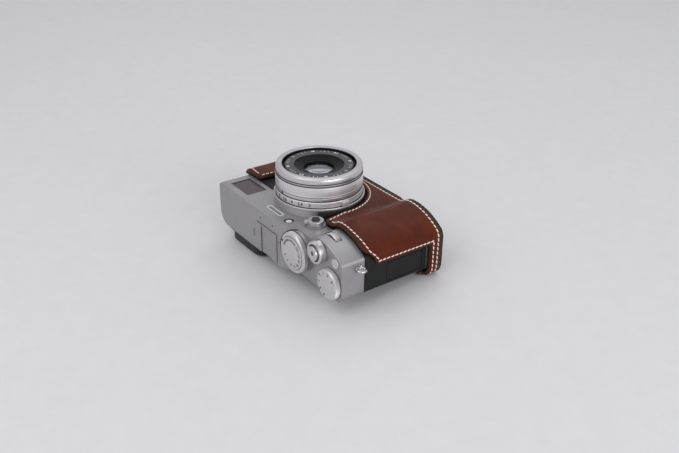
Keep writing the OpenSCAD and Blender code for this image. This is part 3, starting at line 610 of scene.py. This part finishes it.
def focus_ring():
    """A plain ring with one groove, and the dark seams between all the rings."""
    o, h = lens_foot("focus_ring")
    groove = 0.14
    turned("focus_grip", "focus_ring", OUT,
           [(TUBE_BORE, 0), (RING_R, 0, 0.3), (RING_R, 0.75, 0.03), (RING_R - groove, 0.85, 0.03),
            (RING_R - groove, 1.05, 0.03), (RING_R, 1.15, 0.03), (RING_R, h, 0.35), (TUBE_BORE, h)],
           RING, o, closed=True)
    bm = bmesh.new()
    seams = [*(v.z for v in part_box("aperture_ring")), *(v.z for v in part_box("focus_ring")),
             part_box("front_ring")[0].z + 1.45 * MM]
    for z in seams:
        mid = (z - o.z) / MM
        lathe_into(bm, [(24.6, mid - 0.2), (RING_R - 0.08, mid - 0.2), (RING_R - 0.08, mid + 0.2),
                        (24.6, mid + 0.2)], FINE_SEGS, closed=True)
    piece("ring_seams", bm, ROOT, BLACK_METAL, matrix=placed(o, OUT))


def front_ring():
    """The rounded front ring, the name ring in it, and the black wall of its mouth."""
    o, h = lens_foot("front_ring")
    inset = NOSE_R - 0.3
    turned("front_bezel", "front_ring", OUT,
           [(NOSE_BORE, 0), (NOSE_R - 0.35, 0, 0.1), (NOSE_R - 0.35, 0.3, 0.05),
            (NOSE_R, 0.45, 0.12), (NOSE_R, 1.15, 0.1), (inset, 1.3, 0.05), (inset, 1.6, 0.05),
            (NOSE_R, 1.75, 0.1), (NOSE_R, h, 2.5), (MOUTH_R, h, 0.22), (MOUTH_R, 1.8),
            (NOSE_BORE, 1.8)],
           TURNED, o, closed=True, segs=192)
    turned("front_liner", "name_ring", OUT,
           [(15.5, 0), (21.2, 0), (21.2, NAME_H, 0.12), (15.5, NAME_H, 0.15)],
           NAME_GREY, lens_foot("name_ring")[0], closed=True)
    bm = bmesh.new()
    lathe_into(bm, [(22.58, 1.15), (23.05, 1.85), (23.07, 4.6), (22.92, 4.75), (22.9, 2.1),
                    (22.5, 1.3)], FINE_SEGS, closed=True)
    piece("mouth_shade", bm, ROOT, CONE_BLACK, matrix=placed(o, OUT))


def name_scale():
    """Plain numbers and ticks where the picture has the lens's name."""
    bm = bmesh.new()
    marks = ("2", "35", "0.3", "46") * 2
    for k in range(NAME_TICKS):
        a = k * 360 / NAME_TICKS
        place = k % TICKS_PER_MARK
        if place == 3:
            stamp(bm, marks[k // TICKS_PER_MARK], 2.3, on_disc(NAME_R, a, NAME_H + INK_LIFT))
        elif place not in (2, 4):
            tall = 1.9 if place == 0 else 1.1
            spin = Matrix.Rotation(math.radians(a), 4, "Z")
            box_into(bm, (NAME_R - tall / 2, -0.14, NAME_H), (NAME_R + tall / 2, 0.14, NAME_H + 0.025),
                     0, spin)
    piece("lens_scale", bm, ROOT, WHITE_INK,
          matrix=placed(lens_foot("name_ring")[0], OUT))


def lens_cone():
    """A black funnel in four steps from the name ring down to the front glass."""
    o, top = lens_foot("lens_cone")
    foot_z = (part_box("front_ring")[0].z - o.z) / MM
    steps, fall = 4, 0.45
    rim, throat = 15.9, 9.5
    cone = [(22.5, foot_z), (22.5, foot_z + 0.6, 0.05), (21.0, foot_z + 0.6), (21.0, top),
            (rim, top, 0.1)]
    for k in range(steps):
        r = 14.4 - 1.6 * k
        cone += [(r + 0.5, top - fall * k + 0.02, 0.1), (r, top - fall * k - 0.12, 0.1),
                 (r, top - fall * (k + 1), 0.04)]
    cone += [(throat, top - fall * steps - 0.1, 0.1), (throat, 0), (11.4, 0), (11.4, top - 2.6),
             (rim, top - 1.3), (16.0, foot_z)]
    turned("lens_mouth_cone", "lens_cone", OUT, cone, CONE_BLACK, o, closed=True,
           soft=0.0, segs=FINE_SEGS)


def bow(r, h, curve_r, steps):
    """Profile of a domed glass of height h, from its middle out to its edge."""
    return [(r * k / steps, h - curve_r + math.sqrt(curve_r ** 2 - (r * k / steps) ** 2))
            for k in range(steps + 1)]


def glasses():
    o, h = lens_foot("front_element")
    r = foot("front_element", OUT)[1]
    turned("front_glass", "front_element", OUT, bow(r, h, 24, 10) + [(r, 0.25), (r - 0.3, 0), (0, 0)],
           LENS_GLASS, o, soft=0)
    o, h = lens_foot("rear_element")
    r = foot("rear_element", OUT)[1]
    turned("inner_glass", "rear_element", OUT, bow(r, h, 14, 8) + [(r, 0.1), (0, 0)],
           CLEAR_GLASS, o, soft=0)


for make in (flange, aperture_ring, lens_tube, focus_ring, front_ring, name_scale, lens_cone,
             glasses):
    make()


# ------------------------------------ dials
SHUTTER_R = foot("shutter_dial", UP)[1]
DIAL_SLACK = 0.06
HAIR = 0.02


def shutter_dial():
    o, r, h = foot("shutter_dial", UP)
    disc_h = (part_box("shutter_dial")[1].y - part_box("iso_collar")[1].y) / MM
    groove = 0.1
    turned("shutter_disc", "shutter_dial", UP,
           [(0, h), (r - 1.15, h, HAIR), (r - 1.05, h - groove, HAIR), (r - 0.9, h - groove, HAIR),
            (r - 0.8, h, HAIR), (r, h, 0.25), (r, disc_h), (2.5, disc_h), (2.5, 0), (0, 0)],
           DIAL, o)
    bm = bmesh.new()
    speeds = ("2", "4", "8", "15", "30", "60", "125", "250", "500", "1000", "2000", "4000")
    for k, text in enumerate(speeds):
        size = 2.3 if len(text) < 4 else 1.9
        stamp(bm, text, size, on_disc(r - 2.15, -150 + 27.5 * k, h + 0.004))
    piece("shutter_numbers", bm, body_of("shutter_dial"), INK, matrix=placed(o, UP))


def iso_collar():
    """The knurled collar round the shutter dial, with its dark window, and a thin black ring at its
    inner edge: painted shade in the gap.
    """
    o, r, h = foot("iso_collar", UP)
    bore = SHUTTER_R + DIAL_SLACK
    turned("lifting_collar", "iso_collar", UP,
           [(bore, 0), (r - 0.5, 0), (r, 0.5, 0.2), (r, h - 0.75, 0.2), (r - 0.55, h, 0.25),
            (bore, h, 0.15)],
           DIAL, o, closed=True, knurl=(116, 0.28, 0.45, h - 0.6))
    bm = bmesh.new()
    spin = Matrix.Rotation(math.radians(158), 4, "Z")
    box_into(bm, (SHUTTER_R + 0.45, -0.8, h - 0.2), (SHUTTER_R + 1.75, 0.8, h + 0.03), 0.05, spin)
    # A thin black ring where the collar meets the dial: painted shade of the gap
    gap_shade_in, gap_shade_out = SHUTTER_R + 0.08, SHUTTER_R + 0.36
    lathe_into(bm, [(gap_shade_in, h - 0.1), (gap_shade_out, h - 0.1), (gap_shade_out, h + 0.02), (gap_shade_in, h + 0.02)],
               96, closed=True)
    piece("collar_window_and_gap_shade", bm, body_of("iso_collar"), INK, matrix=placed(o, UP))


def exposure_dial():
    o, r, h = foot("exposure_dial", UP)
    disc_h = 4.2
    groove = 0.08
    turned("exposure_disc", "exposure_dial", UP,
           [(0, h), (r - 3.4, h, HAIR), (r - 3.3, h - groove, HAIR), (r - 3.15, h - groove, HAIR),
            (r - 3.05, h, HAIR), (r - 0.5, h, 0.3), (r, h - 0.6, 0.2), (r, disc_h + 0.35, 0.2),
            (r - 0.5, disc_h), (2, disc_h), (2, 0), (0, 0)],
           DIAL, o, knurl=(92, 0.26, disc_h + 0.3, h - 0.45))
    bm = bmesh.new()
    for k, text in enumerate(("3", "2", "1", "0", "1", "2", "3")):
        stamp(bm, text, 2.8, on_disc(r - 2.1, 40 + 36 * k, h + 0.004))
    piece("exposure_numbers", bm, body_of("exposure_dial"), INK, matrix=placed(o, UP))


def shutter_button():
    """A dished button with a cable-release hole, ringed by a flat black band: painted shade of a deep
    groove.
    """
    o, r, h = foot("shutter_button", UP)
    hole_r, neck_r = 1.3, 1.8
    turned("release_button", "shutter_button", UP,
           [(0, 3.2), (hole_r, 3.2, 0), (hole_r, 6.86, 0.08), (2.2, 7.02), (2.95, h, 0.1),
            (r, h, 0.35), (r, 4.2, 0.1), (neck_r, 4.2), (neck_r, 0), (0, 0)],
           TURNED, o)
    bm = bmesh.new()
    # A flat black ring on the collar round the button stands for the groove's shade: painted shade
    lathe_into(bm, [(4.42, 5.4), (5.2, 5.4), (5.2, 5.74), (4.42, 5.74)], 96, closed=True)
    piece("button_shade_ring", bm, ROOT, BLACK_METAL, matrix=placed(o, UP))


def power_lever():
    """The switch ring round the shutter button, with a ribbed tab."""
    axis = foot("shutter_button", UP)[0]
    lo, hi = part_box("power_lever")
    h = (hi.y - lo.y) / MM
    r = (axis.x - lo.x) / MM
    bore = 5.26

    def tab(bm):
        spin = Matrix.Rotation(math.radians(61), 4, "Z")
        box_into(bm, (5.6, -1.6, h - 2.35), (9.9, 1.6, h), 0.4, spin)
        for k in range(4):
            rib = 8.35 + 0.42 * k
            box_into(bm, (rib, -1.25, h - 0.05), (rib + 0.2, 1.25, h + 0.08), 0.06, spin)

    turned("switch_ring", "power_lever", UP,
           [(bore, 0), (r, 0, 0.15), (r, h - 0.7, 0.1), (r - 0.3, h, 0.15), (bore, h, 0.2)],
           DIAL, Vector((axis.x, hi.y, axis.z)), closed=True, extra=tab)


def function_button():
    o, r, h = foot("function_button", UP)
    turned("function_key", "function_button", UP,
           [(0, h - 0.12), (r - 1.2, h - 0.06), (r - 0.7, h), (r, h, 0.22), (r, 0), (0, 0)],
           DIAL, o)


def thumb_wheel(node, name, mat):
    o, r, h = foot(node, UP)
    bore, edge = 1.56, 0.35
    turned(name, node, UP,
           [(bore, 0), (r - edge, 0, 0.1), (r, edge, 0.1), (r, h - edge, 0.1), (r - edge, h, 0.1),
            (bore, h)],
           mat, o, closed=True, knurl=(60, 0.4, 0.2, h - 0.2))


def focus_stick():
    """A ribbed cap on a thin neck that ends in a ball."""
    o, r, h = foot("focus_stick", BACK)
    neck = 1.0
    turned("stick_cap", "focus_stick", BACK,
           [(0, 0), (1.13, 0.47), (1.6, 1.6), (1.13, 2.73), (neck, 2.85), (neck, h - 1.6, 0),
            (r, h - 1.6), (r, h - 0.1, 0.25), (1.35, h, 0.1), (neck, h - 0.2), (0, h - 0.25)],
           PLASTIC, o, knurl=(24, 0.14, h - 1.5, h - 0.1))


for make in (shutter_dial, iso_collar, exposure_dial, shutter_button, power_lever,
             function_button):
    make()
thumb_wheel("front_dial", "front_wheel", TURNED)
thumb_wheel("rear_dial", "rear_wheel", BLACK_METAL)
focus_stick()

# ------------------------------------ the CAD's own pieces
# Finish and slot, with the width in mm of the rounded edges of each node
SHADED = (
    (SATIN, "silver_satin", {"top_cover": 0.28, "base_cover": 0.3, "hot_shoe": 0.15,
                             "hot_shoe_cover": 0.2, "case_plate": 0.3, "battery_door": 0.25}),
    (TURNED, "silver_bright", {"flash_unit": 0.15, "finder_lever": 0.3}),
    (CHROME, "lug_chrome", {"strap_lugs": 0.12}),
    (STEEL, "steel", {"cover_screws": 0.12, "case_screw": 0.25}),
    (BRASS, "brass_bush", {"tripod_bush": 0.15}),
    (CAST, "chassis_grey", {"chassis": 0.15}),
    (BOARD, "board_green", {"main_board": 0.1}),
    (BLACK_METAL, "black_metal", {"body_shell": 0.1, "rear_cover": 0.25, "iris_housing": 0.1,
                                  "finder_lever_button": 0.2}),
    (SKIN, "black_skin", {"leatherette": 0.12, "terminal_door": 0.25}),
    (PLASTIC, "black_plastic", {"sensor_unit": 0.15, "battery": 0.4, "memory_card": 0.15,
                                "battery_latch": 0.15}),
    (SCREEN, "screen", {"display_panel": 0.35}),
    (FINDER_GLASS, "finder_glass", {"viewfinder_window": 0.1}),
    (CLEAR_GLASS, "clear_glass", {"viewfinder_prism": 0.2, "eyepiece_lens": 0.3}),
    (LAMP_WHITE, "flash_glass", {"af_lamp": 0.3}),
)
for mat, slot, edges in SHADED:
    for node, width in edges.items():
        shade(node, mat, width)
for node in ("menu_button", "play_button", "quick_button"):
    shade(node, PLASTIC, 0.35, segments=3)
for k in range(1, 8):
    shade(f"iris_blade_{k}", BLACK_METAL)


def finder_mask():
    """The dark border behind the finder's glass."""
    lo, hi = (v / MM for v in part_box("viewfinder_window"))
    inset = Vector((1.15, 0.85, 0))
    bm = bmesh.new()
    border_into(bm, lo + inset, hi - inset, 0.55, hi.z - 0.2, hi.z + 0.06, 0.02)
    piece("finder_mask", bm, ROOT, BLACK_METAL)


def af_lamp_shade_ring():
    # A black ring round the AF lamp: painted shade of its recess
    o, _, h = foot("af_lamp", OUT)
    bm = bmesh.new()
    lathe_into(bm, [(1.95, h - 0.2), (2.0, h + 0.05), (2.75, h + 0.3), (3.05, h + 0.3),
                    (3.05, h - 0.2)], 64, closed=True)
    piece("af_lamp_shade_ring", bm, ROOT, BLACK_METAL, matrix=placed(o, OUT))


def eyecup():
    """Moulded rubber: the CAD's block with its edges softened all over."""
    cup = shade("eyecup", RUBBER)
    soft = cup.modifiers.new("soft", "REMESH")
    soft.mode = "VOXEL"
    soft.voxel_size = 0.32 * MM
    soft.use_smooth_shade = True
    even = cup.modifiers.new("even", "SMOOTH")
    even.factor = 0.6
    even.iterations = 5


finder_mask()
af_lamp_shade_ring()
eyecup()

# ------------------------------------ leather case

def tree_of(nodes):
    verts, faces = [], []
    for n in nodes:
        mesh = NODES[n].data
        first = len(verts)
        verts += [v.co.copy() for v in mesh.vertices]
        faces += [tuple(first + i for i in p.vertices) for p in mesh.polygons]
    return BVHTree.FromPolygons(verts, faces)


BODY_TREE = tree_of(("top_cover", "body_shell", "base_cover", "rear_cover"))
LENS_X, _, LENS_H = design(AXIS)
CASE_LO, CASE_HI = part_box("case_shell")
SOLE_H = design(CASE_HI)[2]
CASE_TOP = design(CASE_LO)[2]
CASE_OUT = design(CASE_HI)[0] - RIGHT
CASE_IN = 0.9
SOLE_EDGE = 2.7
EDGE_LINE = (1.5, 1.9)


def remeshed(node, size):
    """A copy of a CAD node's mesh, made of even quads."""
    o = bpy.data.objects.new("shell", NODES[node].data.copy())
    bpy.context.scene.collection.objects.link(o)
    w = o.modifiers.new("weld", "WELD")
    w.merge_threshold = WELD * MM
    r = o.modifiers.new("voxels", "REMESH")
    r.mode = "VOXEL"
    r.voxel_size = size * MM
    dg = bpy.context.evaluated_depsgraph_get()
    mesh = bpy.data.meshes.new_from_object(o.evaluated_get(dg))
    bpy.data.objects.remove(o)
    return mesh


def read(mesh):
    """The mesh's points, and the pairs of points that its edges join."""
    co = np.zeros(len(mesh.vertices) * 3, np.float32)
    mesh.vertices.foreach_get("co", co)
    ed = np.zeros(len(mesh.edges) * 2, np.int32)
    mesh.edges.foreach_get("vertices", ed)
    return co.reshape(-1, 3).astype(float), ed.reshape(-1, 2)


def relax(co, ed, weight, rounds, shrink=0.5):
    """Moves each vertex towards the mean of its neighbours, by its weight."""
    count = np.zeros(len(co))
    np.add.at(count, ed[:, 0], 1)
    np.add.at(count, ed[:, 1], 1)
    count = np.maximum(count, 1)[:, None]
    w = (weight * shrink)[:, None]
    for _ in range(rounds):
        total = np.zeros_like(co)
        np.add.at(total, ed[:, 0], co[ed[:, 1]])
        np.add.at(total, ed[:, 1], co[ed[:, 0]])
        co = co + w * (total / count - co)
    return co


def normals_of(mesh):
    n = np.zeros(len(mesh.vertices) * 3, np.float32)
    mesh.vertices.foreach_get("normal", n)
    return n.reshape(-1, 3).astype(float)


leather = remeshed("case_shell", 0.6)
co, ed = read(leather)
ones = np.ones(len(co))
co = relax(co, ed, ones, 3)

# How deep each point lies in the leather's thickness: 0 at the lining, 1 at the outer grain
depth = np.array([BODY_TREE.find_nearest(Vector(c))[3] for c in co]) / MM
deep = np.clip((depth - CASE_IN) / (CASE_OUT - CASE_IN), 0, 1)
height = (BASE_Y - co[:, 1]) / MM - SOLE_H
flank = (deep > 0.8) & (height < SOLE_EDGE)
deep[flank] = 0.10 + 0.30 * (height[flank] > EDGE_LINE[0]) * (height[flank] < EDGE_LINE[1])
outer = deep > 0.9
cut = (deep > 0.08) & (deep < 0.86) & ~flank

# The crease where the grip's bulge begins is drawn out into a soft hollow
CREASE_X = middle("front_dial")[0] - 10.7
CREASE_W = 3.2
FRONT_D = 26
x_mm = co[:, 0] / MM
d_mm = (co[:, 2] - REAR_Z) / MM
near = np.exp(-((x_mm - CREASE_X) / CREASE_W) ** 2) * (d_mm > FRONT_D)
co = relax(co, ed, near, 26, 0.7)
co = relax(co, ed, ones, 1, 0.4)
leather.vertices.foreach_set("co", co.astype(np.float32).ravel())
leather.update()

LEATHER_TREE = BVHTree.FromPolygons([Vector(c) for c in co],
                                    [tuple(p.vertices) for p in leather.polygons])


def front(x, h):
    """The point of the case's front at a place across and a height."""
    return LEATHER_TREE.ray_cast(at(x, 70, h), Vector((0, 0, -1)))[0]


def end(side, d, h):
    """The point of the case's left (-1) or right (1) end at a depth and a height."""
    return LEATHER_TREE.ray_cast(at(side * 90, d, h), Vector((-side, 0, 0)))[0]


def joined(corners, step=1.0):
    """Points about a step apart along straight lines from corner to corner."""
    out = [corners[0]]
    for p, q in zip(corners, corners[1:]):
        n = max(2, int(math.dist(p, q) / step))
        out += [tuple(a + (b - a) * k / n for a, b in zip(p, q)) for k in range(1, n + 1)]
    return out


def front_row(corners):
    return [p for p in (front(x, h) for x, h in joined(corners)) if p]


def end_row(side, corners):
    return [p for p in (end(side, d, h) for d, h in joined(corners)) if p]


# Rows of stitches follow the case's cut edges, about 2 mm inside them
ROW_H = CASE_TOP - 1.8
ARC_R = 31.9
WINDOW_D = 22.2
WINDOW_LOW = 1.7
SCOOP_H = CASE_TOP - 6.7
SOLE_ROW = SOLE_H + 3.9
BACK_D = -1.5
PITCH = 3.0

arc = [(LENS_X + ARC_R * math.cos(math.radians(a)), LENS_H + ARC_R * math.sin(math.radians(a)))
       for a in range(7, -173, -2)]
round_lens = front_row([(LENS_X + 34.1, ROW_H), (LENS_X + ARC_R, LENS_H + 4.4)]) + front_row(arc)
round_lens += front_row([(LENS_X - 31.4, LENS_H - 5.2), (LENS_X - 41.9, LENS_H + 5.0),
                         (LENS_X - 42.6, CASE_TOP - 3.2), (LENS_X - 43.3, ROW_H)])
top_right = front_row([(LENS_X + 36.6, ROW_H), (RIGHT - 12, ROW_H - 0.1), (RIGHT - 3, ROW_H - 1.0),
                       (RIGHT + 0.2, ROW_H - 1.3)])
top_right += end_row(1, [(28.3, ROW_H - 1.6), (27.2, ROW_H - 2.6), (25.7, ROW_H - 4.0),
                         (23.9, ROW_H - 5.2), (WINDOW_D, ROW_H - 6.2), (WINDOW_D, WINDOW_LOW),
                         (BACK_D, WINDOW_LOW)])
top_left = front_row([(LENS_X - 45.6, ROW_H), (-RIGHT + 3, ROW_H - 0.6), (-RIGHT, ROW_H - 1.2)])
top_left += end_row(-1, [(25.2, ROW_H - 2.6), (23.6, SCOOP_H - 0.4), (21.4, SCOOP_H - 2.0),
                         (4.2, SCOOP_H - 2.0), (4.2, 7.0)])
base_row = end_row(-1, [(BACK_D, SOLE_ROW), (26.5, SOLE_ROW)])
base_row += front_row([(-RIGHT - 1, SOLE_ROW), (RIGHT + 1, SOLE_ROW)])
base_row += end_row(1, [(27.5, SOLE_ROW), (BACK_D, SOLE_ROW + 0.4)])


def walk(points, pitch):
    """Evenly spaced (place, direction) along a run of points, leaving out its jumps."""
    out, gone, want = [], 0.0, pitch * 0.5
    for p, q in zip(points, points[1:]):
        span = (q - p).length / MM
        if span > 6 or span < 1e-6:
            continue
        while gone + span >= want:
            out.append((p.lerp(q, (want - gone) / span), (q - p).normalized()))
            want += pitch
        gone += span
    return out


# Each stitch is its place, its direction, which leans a little off the row, and the way out
stitches = []
for row in (round_lens, top_right, top_left, base_row):
    for place, along in walk(row, PITCH):
        hit, normal, _, _ = LEATHER_TREE.find_nearest(place)
        side = normal.cross(along).normalized()
        along = (side.cross(normal) + side * random.uniform(0.10, 0.20)).normalized()
        stitches.append((hit, along, normal.normalized()))

# Stitches lie in a shallow furrow; cut edges are pressed and rounded
furrow = KDTree(len(stitches) * 3)
for k, (p, t, n) in enumerate(stitches):
    for j in (-1, 0, 1):
        furrow.insert(p + t * j * MM, k * 3 + j + 1)
furrow.balance()
rim_ids = np.nonzero(cut)[0]
rim = KDTree(len(rim_ids))
for k in rim_ids:
    rim.insert(Vector(co[k]), int(k))
rim.balance()
normal = normals_of(leather)
edge = np.zeros(len(co))
FURROW_H, FURROW_W = 0.26, 0.75
PRESSED_H, PRESSED_W = 0.28, 1.5
BEAD_H, BEAD_IN, BEAD_W = 0.10, 1.1, 0.6
for k in np.nonzero(outer)[0]:
    p = Vector(co[k])
    gap = furrow.find(p)[2] / MM
    brink = rim.find(p)[2] / MM
    edge[k] = max(0.0, 1 - brink / PRESSED_W)
    sink = FURROW_H * math.exp(-(gap / FURROW_W) ** 2) + PRESSED_H * edge[k] ** 2
    sink -= BEAD_H * math.exp(-((brink - BEAD_IN) / BEAD_W) ** 2)
    sink += 0.10 * noise.noise(p * 70) + 0.035 * noise.noise(p * 420)
    co[k] -= normal[k] * max(sink, -0.12) * MM
edge[cut] = 0.35
leather.vertices.foreach_set("co", co.astype(np.float32).ravel())
for name, values in (("deep", deep), ("edge", edge)):
    a = leather.attributes.new(name, "FLOAT", "POINT")
    a.data.foreach_set("value", values.astype(np.float32))
leather.materials.clear()
for p in leather.polygons:
    p.use_smooth = True
    p.material_index = 0
leather.update()
piece("leather_case", leather, body_of("case_shell"), LEATHER, ("case_shell",))

THREAD_R = 0.37
THREAD_HALF = 1.24
THREAD_SIDES = 8
THREAD_RINGS = 9


def thread():
    """Each stitch is a short bowed strand whose ends dip into the leather."""
    bm = bmesh.new()
    turns = [2 * math.pi * i / THREAD_SIDES for i in range(THREAD_SIDES)]
    for p, t, n in stitches:
        side = n.cross(t)
        rings = []
        for k in range(THREAD_RINGS):
            s = -1 + k / 4
            r = THREAD_R * math.sqrt(max(0.0, 1 - abs(s) ** 5)) * (1 + 0.05 * math.sin(k * 2.4))
            mid = p + t * s * THREAD_HALF * MM + n * (0.16 * (1 - s * s) - 0.22) * MM
            rings.append([bm.verts.new(mid + (side * math.cos(a) + n * math.sin(a)) * max(r, 0.03) * MM)
                          for a in turns])
        for lo, hi in zip(rings, rings[1:]):
            for i in range(THREAD_SIDES):
                j = (i + 1) % THREAD_SIDES
                bm.faces.new((lo[i], lo[j], hi[j], hi[i]))
        bm.faces.new(rings[0][::-1])
        bm.faces.new(rings[-1])
    piece("case_stitching", mesh_of(bm, "case_stitching", 60), body_of("case_shell"), THREAD)


thread()

# ------------------------------------ deck details

def plane_mark():
    """The engraved circle and line over the sensor, and the index of the shutter dial."""
    x, d = design(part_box("hot_shoe")[0])[0] - 3.4, 10.7
    low, high = DECK_H - 0.02, DECK_H + 0.015
    bm = bmesh.new()
    lathe_into(bm, [(1.55, low), (1.55, high), (1.8, high), (1.8, low)], 48, closed=True)
    bmesh.ops.translate(bm, verts=bm.verts, vec=(x * MM, d * MM, 0))
    box_into(bm, (x - 0.17, d - 3.1, low), (x + 0.17, d + 3.1, high), 0)
    index_x = design(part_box("hot_shoe")[1])[0] + 1.1
    index_d = middle("shutter_dial")[1]
    box_into(bm, (index_x, index_d - 0.35, low), (index_x + 1.3, index_d + 0.35, high), 0)
    piece("plane_mark", bm, ROOT, INK, matrix=placed(at(0, 0, 0), UP))


def flash():
    """A polished frame round a ribbed lens."""
    lo, hi = (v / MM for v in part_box("flash_window"))
    frame_w, ribs, gap = 0.5, 22, 0.1
    bm = bmesh.new()
    border_into(bm, lo, hi, frame_w, hi.z - 1.0, hi.z + 0.15, 0.12)
    piece("flash_frame", bm, ROOT, WHITE_METAL)
    bm = bmesh.new()
    box_into(bm, (lo.x + 0.2, lo.y + 0.2, lo.z), (hi.x - 0.2, hi.y - 0.2, hi.z - 0.75), 0.1)
    box_into(bm, (lo.x + 0.3, lo.y + 1.5, hi.z - 0.8), (hi.x - 0.3, lo.y + 1.75, hi.z - 0.1), 0.05)
    step = (hi.x - lo.x - 2 * frame_w) / ribs
    for k in range(ribs):
        x = lo.x + frame_w + step * k
        box_into(bm, (x + gap, lo.y + frame_w, hi.z - 0.95),
                 (x + step - gap, hi.y - frame_w, hi.z - 0.35), 0.16)
    piece("flash_lens", bm, ROOT, STEEL, ("flash_window",))


plane_mark()
flash()

# ------------------------------------ floor, in metres
# The object lies on the eyecup's edge and the rim of the case's sole, so the floor tilts there
EYECUP_EDGE = BASE_Y - 51.3 * MM
SOLE_RIM = CASE_HI.y
RISE = (CASE_LO.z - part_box("eyecup")[0].z) / (SOLE_RIM - EYECUP_EDGE)
FLOOR_HALF = 2.5
LEVEL_OFF = 0.09
MARGIN = 0.02


def slope(y):
    """The floor is level away from the object and tilts under it, where the object rests."""
    out = max(EYECUP_EDGE - MARGIN - y, y - SOLE_RIM - MARGIN, 0) / LEVEL_OFF
    return RISE * max(0.0, 1 - out) ** 2 * (1 + 2 * min(out, 1))


def paper_floor():
    near_ys = [-0.3 + 0.01 * k for k in range(61)]
    ys = [-FLOOR_HALF, -1.0, -0.5, *near_ys, 0.5, 1.0, FLOOR_HALF]
    zs = [0.0]
    for a, b in zip(ys, ys[1:]):
        zs.append(zs[-1] + (slope(a) + 4 * slope((a + b) / 2) + slope(b)) / 6 * (b - a))
    under_cup = zs[min(range(len(ys)), key=lambda k: abs(ys[k] - EYECUP_EDGE))]
    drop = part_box("eyecup")[0].z - 0.05 * MM
    bm = bmesh.new()
    rows = [[bm.verts.new((x, y, z - under_cup + drop)) for x in (-FLOOR_HALF, FLOOR_HALF)]
            for y, z in zip(ys, zs)]
    for a, b in zip(rows, rows[1:]):
        bm.faces.new((a[0], a[1], b[1], b[0]))
    floor = bpy.data.objects.new("floor", mesh_of(bm, "floor", 80))
    bpy.context.scene.collection.objects.link(floor)
    floor.data.materials.append(PAPER)


paper_floor()

# ------------------------------------ light, in metres and degrees
scene = bpy.context.scene
scene.view_settings.view_transform = "Standard"
SKY_STRENGTH = 0.6


def studio():
    """An even sky that lights the object, and a plain grey that the camera sees instead."""
    world = bpy.data.worlds.new("studio")
    scene.world = world
    world.use_nodes = True
    t = world.node_tree
    sky = t.nodes["Background"]
    sky.inputs["Color"].default_value = (0.98, 0.98, 1.0, 1)
    sky.inputs["Strength"].default_value = SKY_STRENGTH
    shown = t.nodes.new("ShaderNodeBackground")
    shown.inputs["Color"].default_value = (0.62, 0.615, 0.635, 1)
    path = t.nodes.new("ShaderNodeLightPath")
    pick = t.nodes.new("ShaderNodeMixShader")
    t.links.new(path.outputs["Is Camera Ray"], pick.inputs[0])
    t.links.new(sky.outputs[0], pick.inputs[1])
    t.links.new(shown.outputs[0], pick.inputs[2])
    t.links.new(pick.outputs[0], t.nodes["World Output"].inputs[0])


def towards(az, el):
    """The way from the object at an azimuth, from its deck's side, and an elevation."""
    a, e = math.radians(az), math.radians(el)
    return Vector((math.sin(a) * math.cos(e), -math.cos(a) * math.cos(e), math.sin(e)))


def lamp(name, az, el, dist, size, power):
    d = bpy.data.lights.new(name, "AREA")
    d.shape = "RECTANGLE"
    d.size, d.size_y = size
    d.energy = power
    o = bpy.data.objects.new(name, d)
    way = towards(az, el)
    o.location = Vector((0, 0, 0.02)) + way * dist
    o.rotation_euler = (-way).to_track_quat("-Z", "Y").to_euler()
    scene.collection.objects.link(o)


studio()
lamp("window", 90, 19, 1.4, (1.1, 0.8), 9.0)
lamp("overhead", 225, 60, 1.3, (1.2, 0.8), 2.4)
lamp("fill", 5, 50, 0.95, (0.8, 0.6), 2.1)

# ------------------------------------ camera
# The photograph's own viewpoint, found from the camera's edges and rings in perspective
VIEW_AZ, VIEW_EL, VIEW_ROLL = 53.832, 28.056, 0.646
VIEW_DIST = 0.527588
VIEW_LENS = 45.04
VIEW_AIM = at(11.715, 15.671, 29.631)


def camera():
    back = towards(VIEW_AZ, VIEW_EL)
    az, roll = math.radians(VIEW_AZ), math.radians(VIEW_ROLL)
    right = Vector((math.cos(az), math.sin(az), 0))
    up = back.cross(right)
    right, up = (right * math.cos(roll) + up * math.sin(roll),
                 up * math.cos(roll) - right * math.sin(roll))
    cam = bpy.data.cameras.new("view")
    cam.sensor_width = 36
    cam.lens = VIEW_LENS
    cam.clip_start = 0.01
    eye = bpy.data.objects.new("view", cam)
    scene.collection.objects.link(eye)
    eye.matrix_world = placed(VIEW_AIM + back * VIEW_DIST, (right, up, back))
    scene.camera = eye


camera()
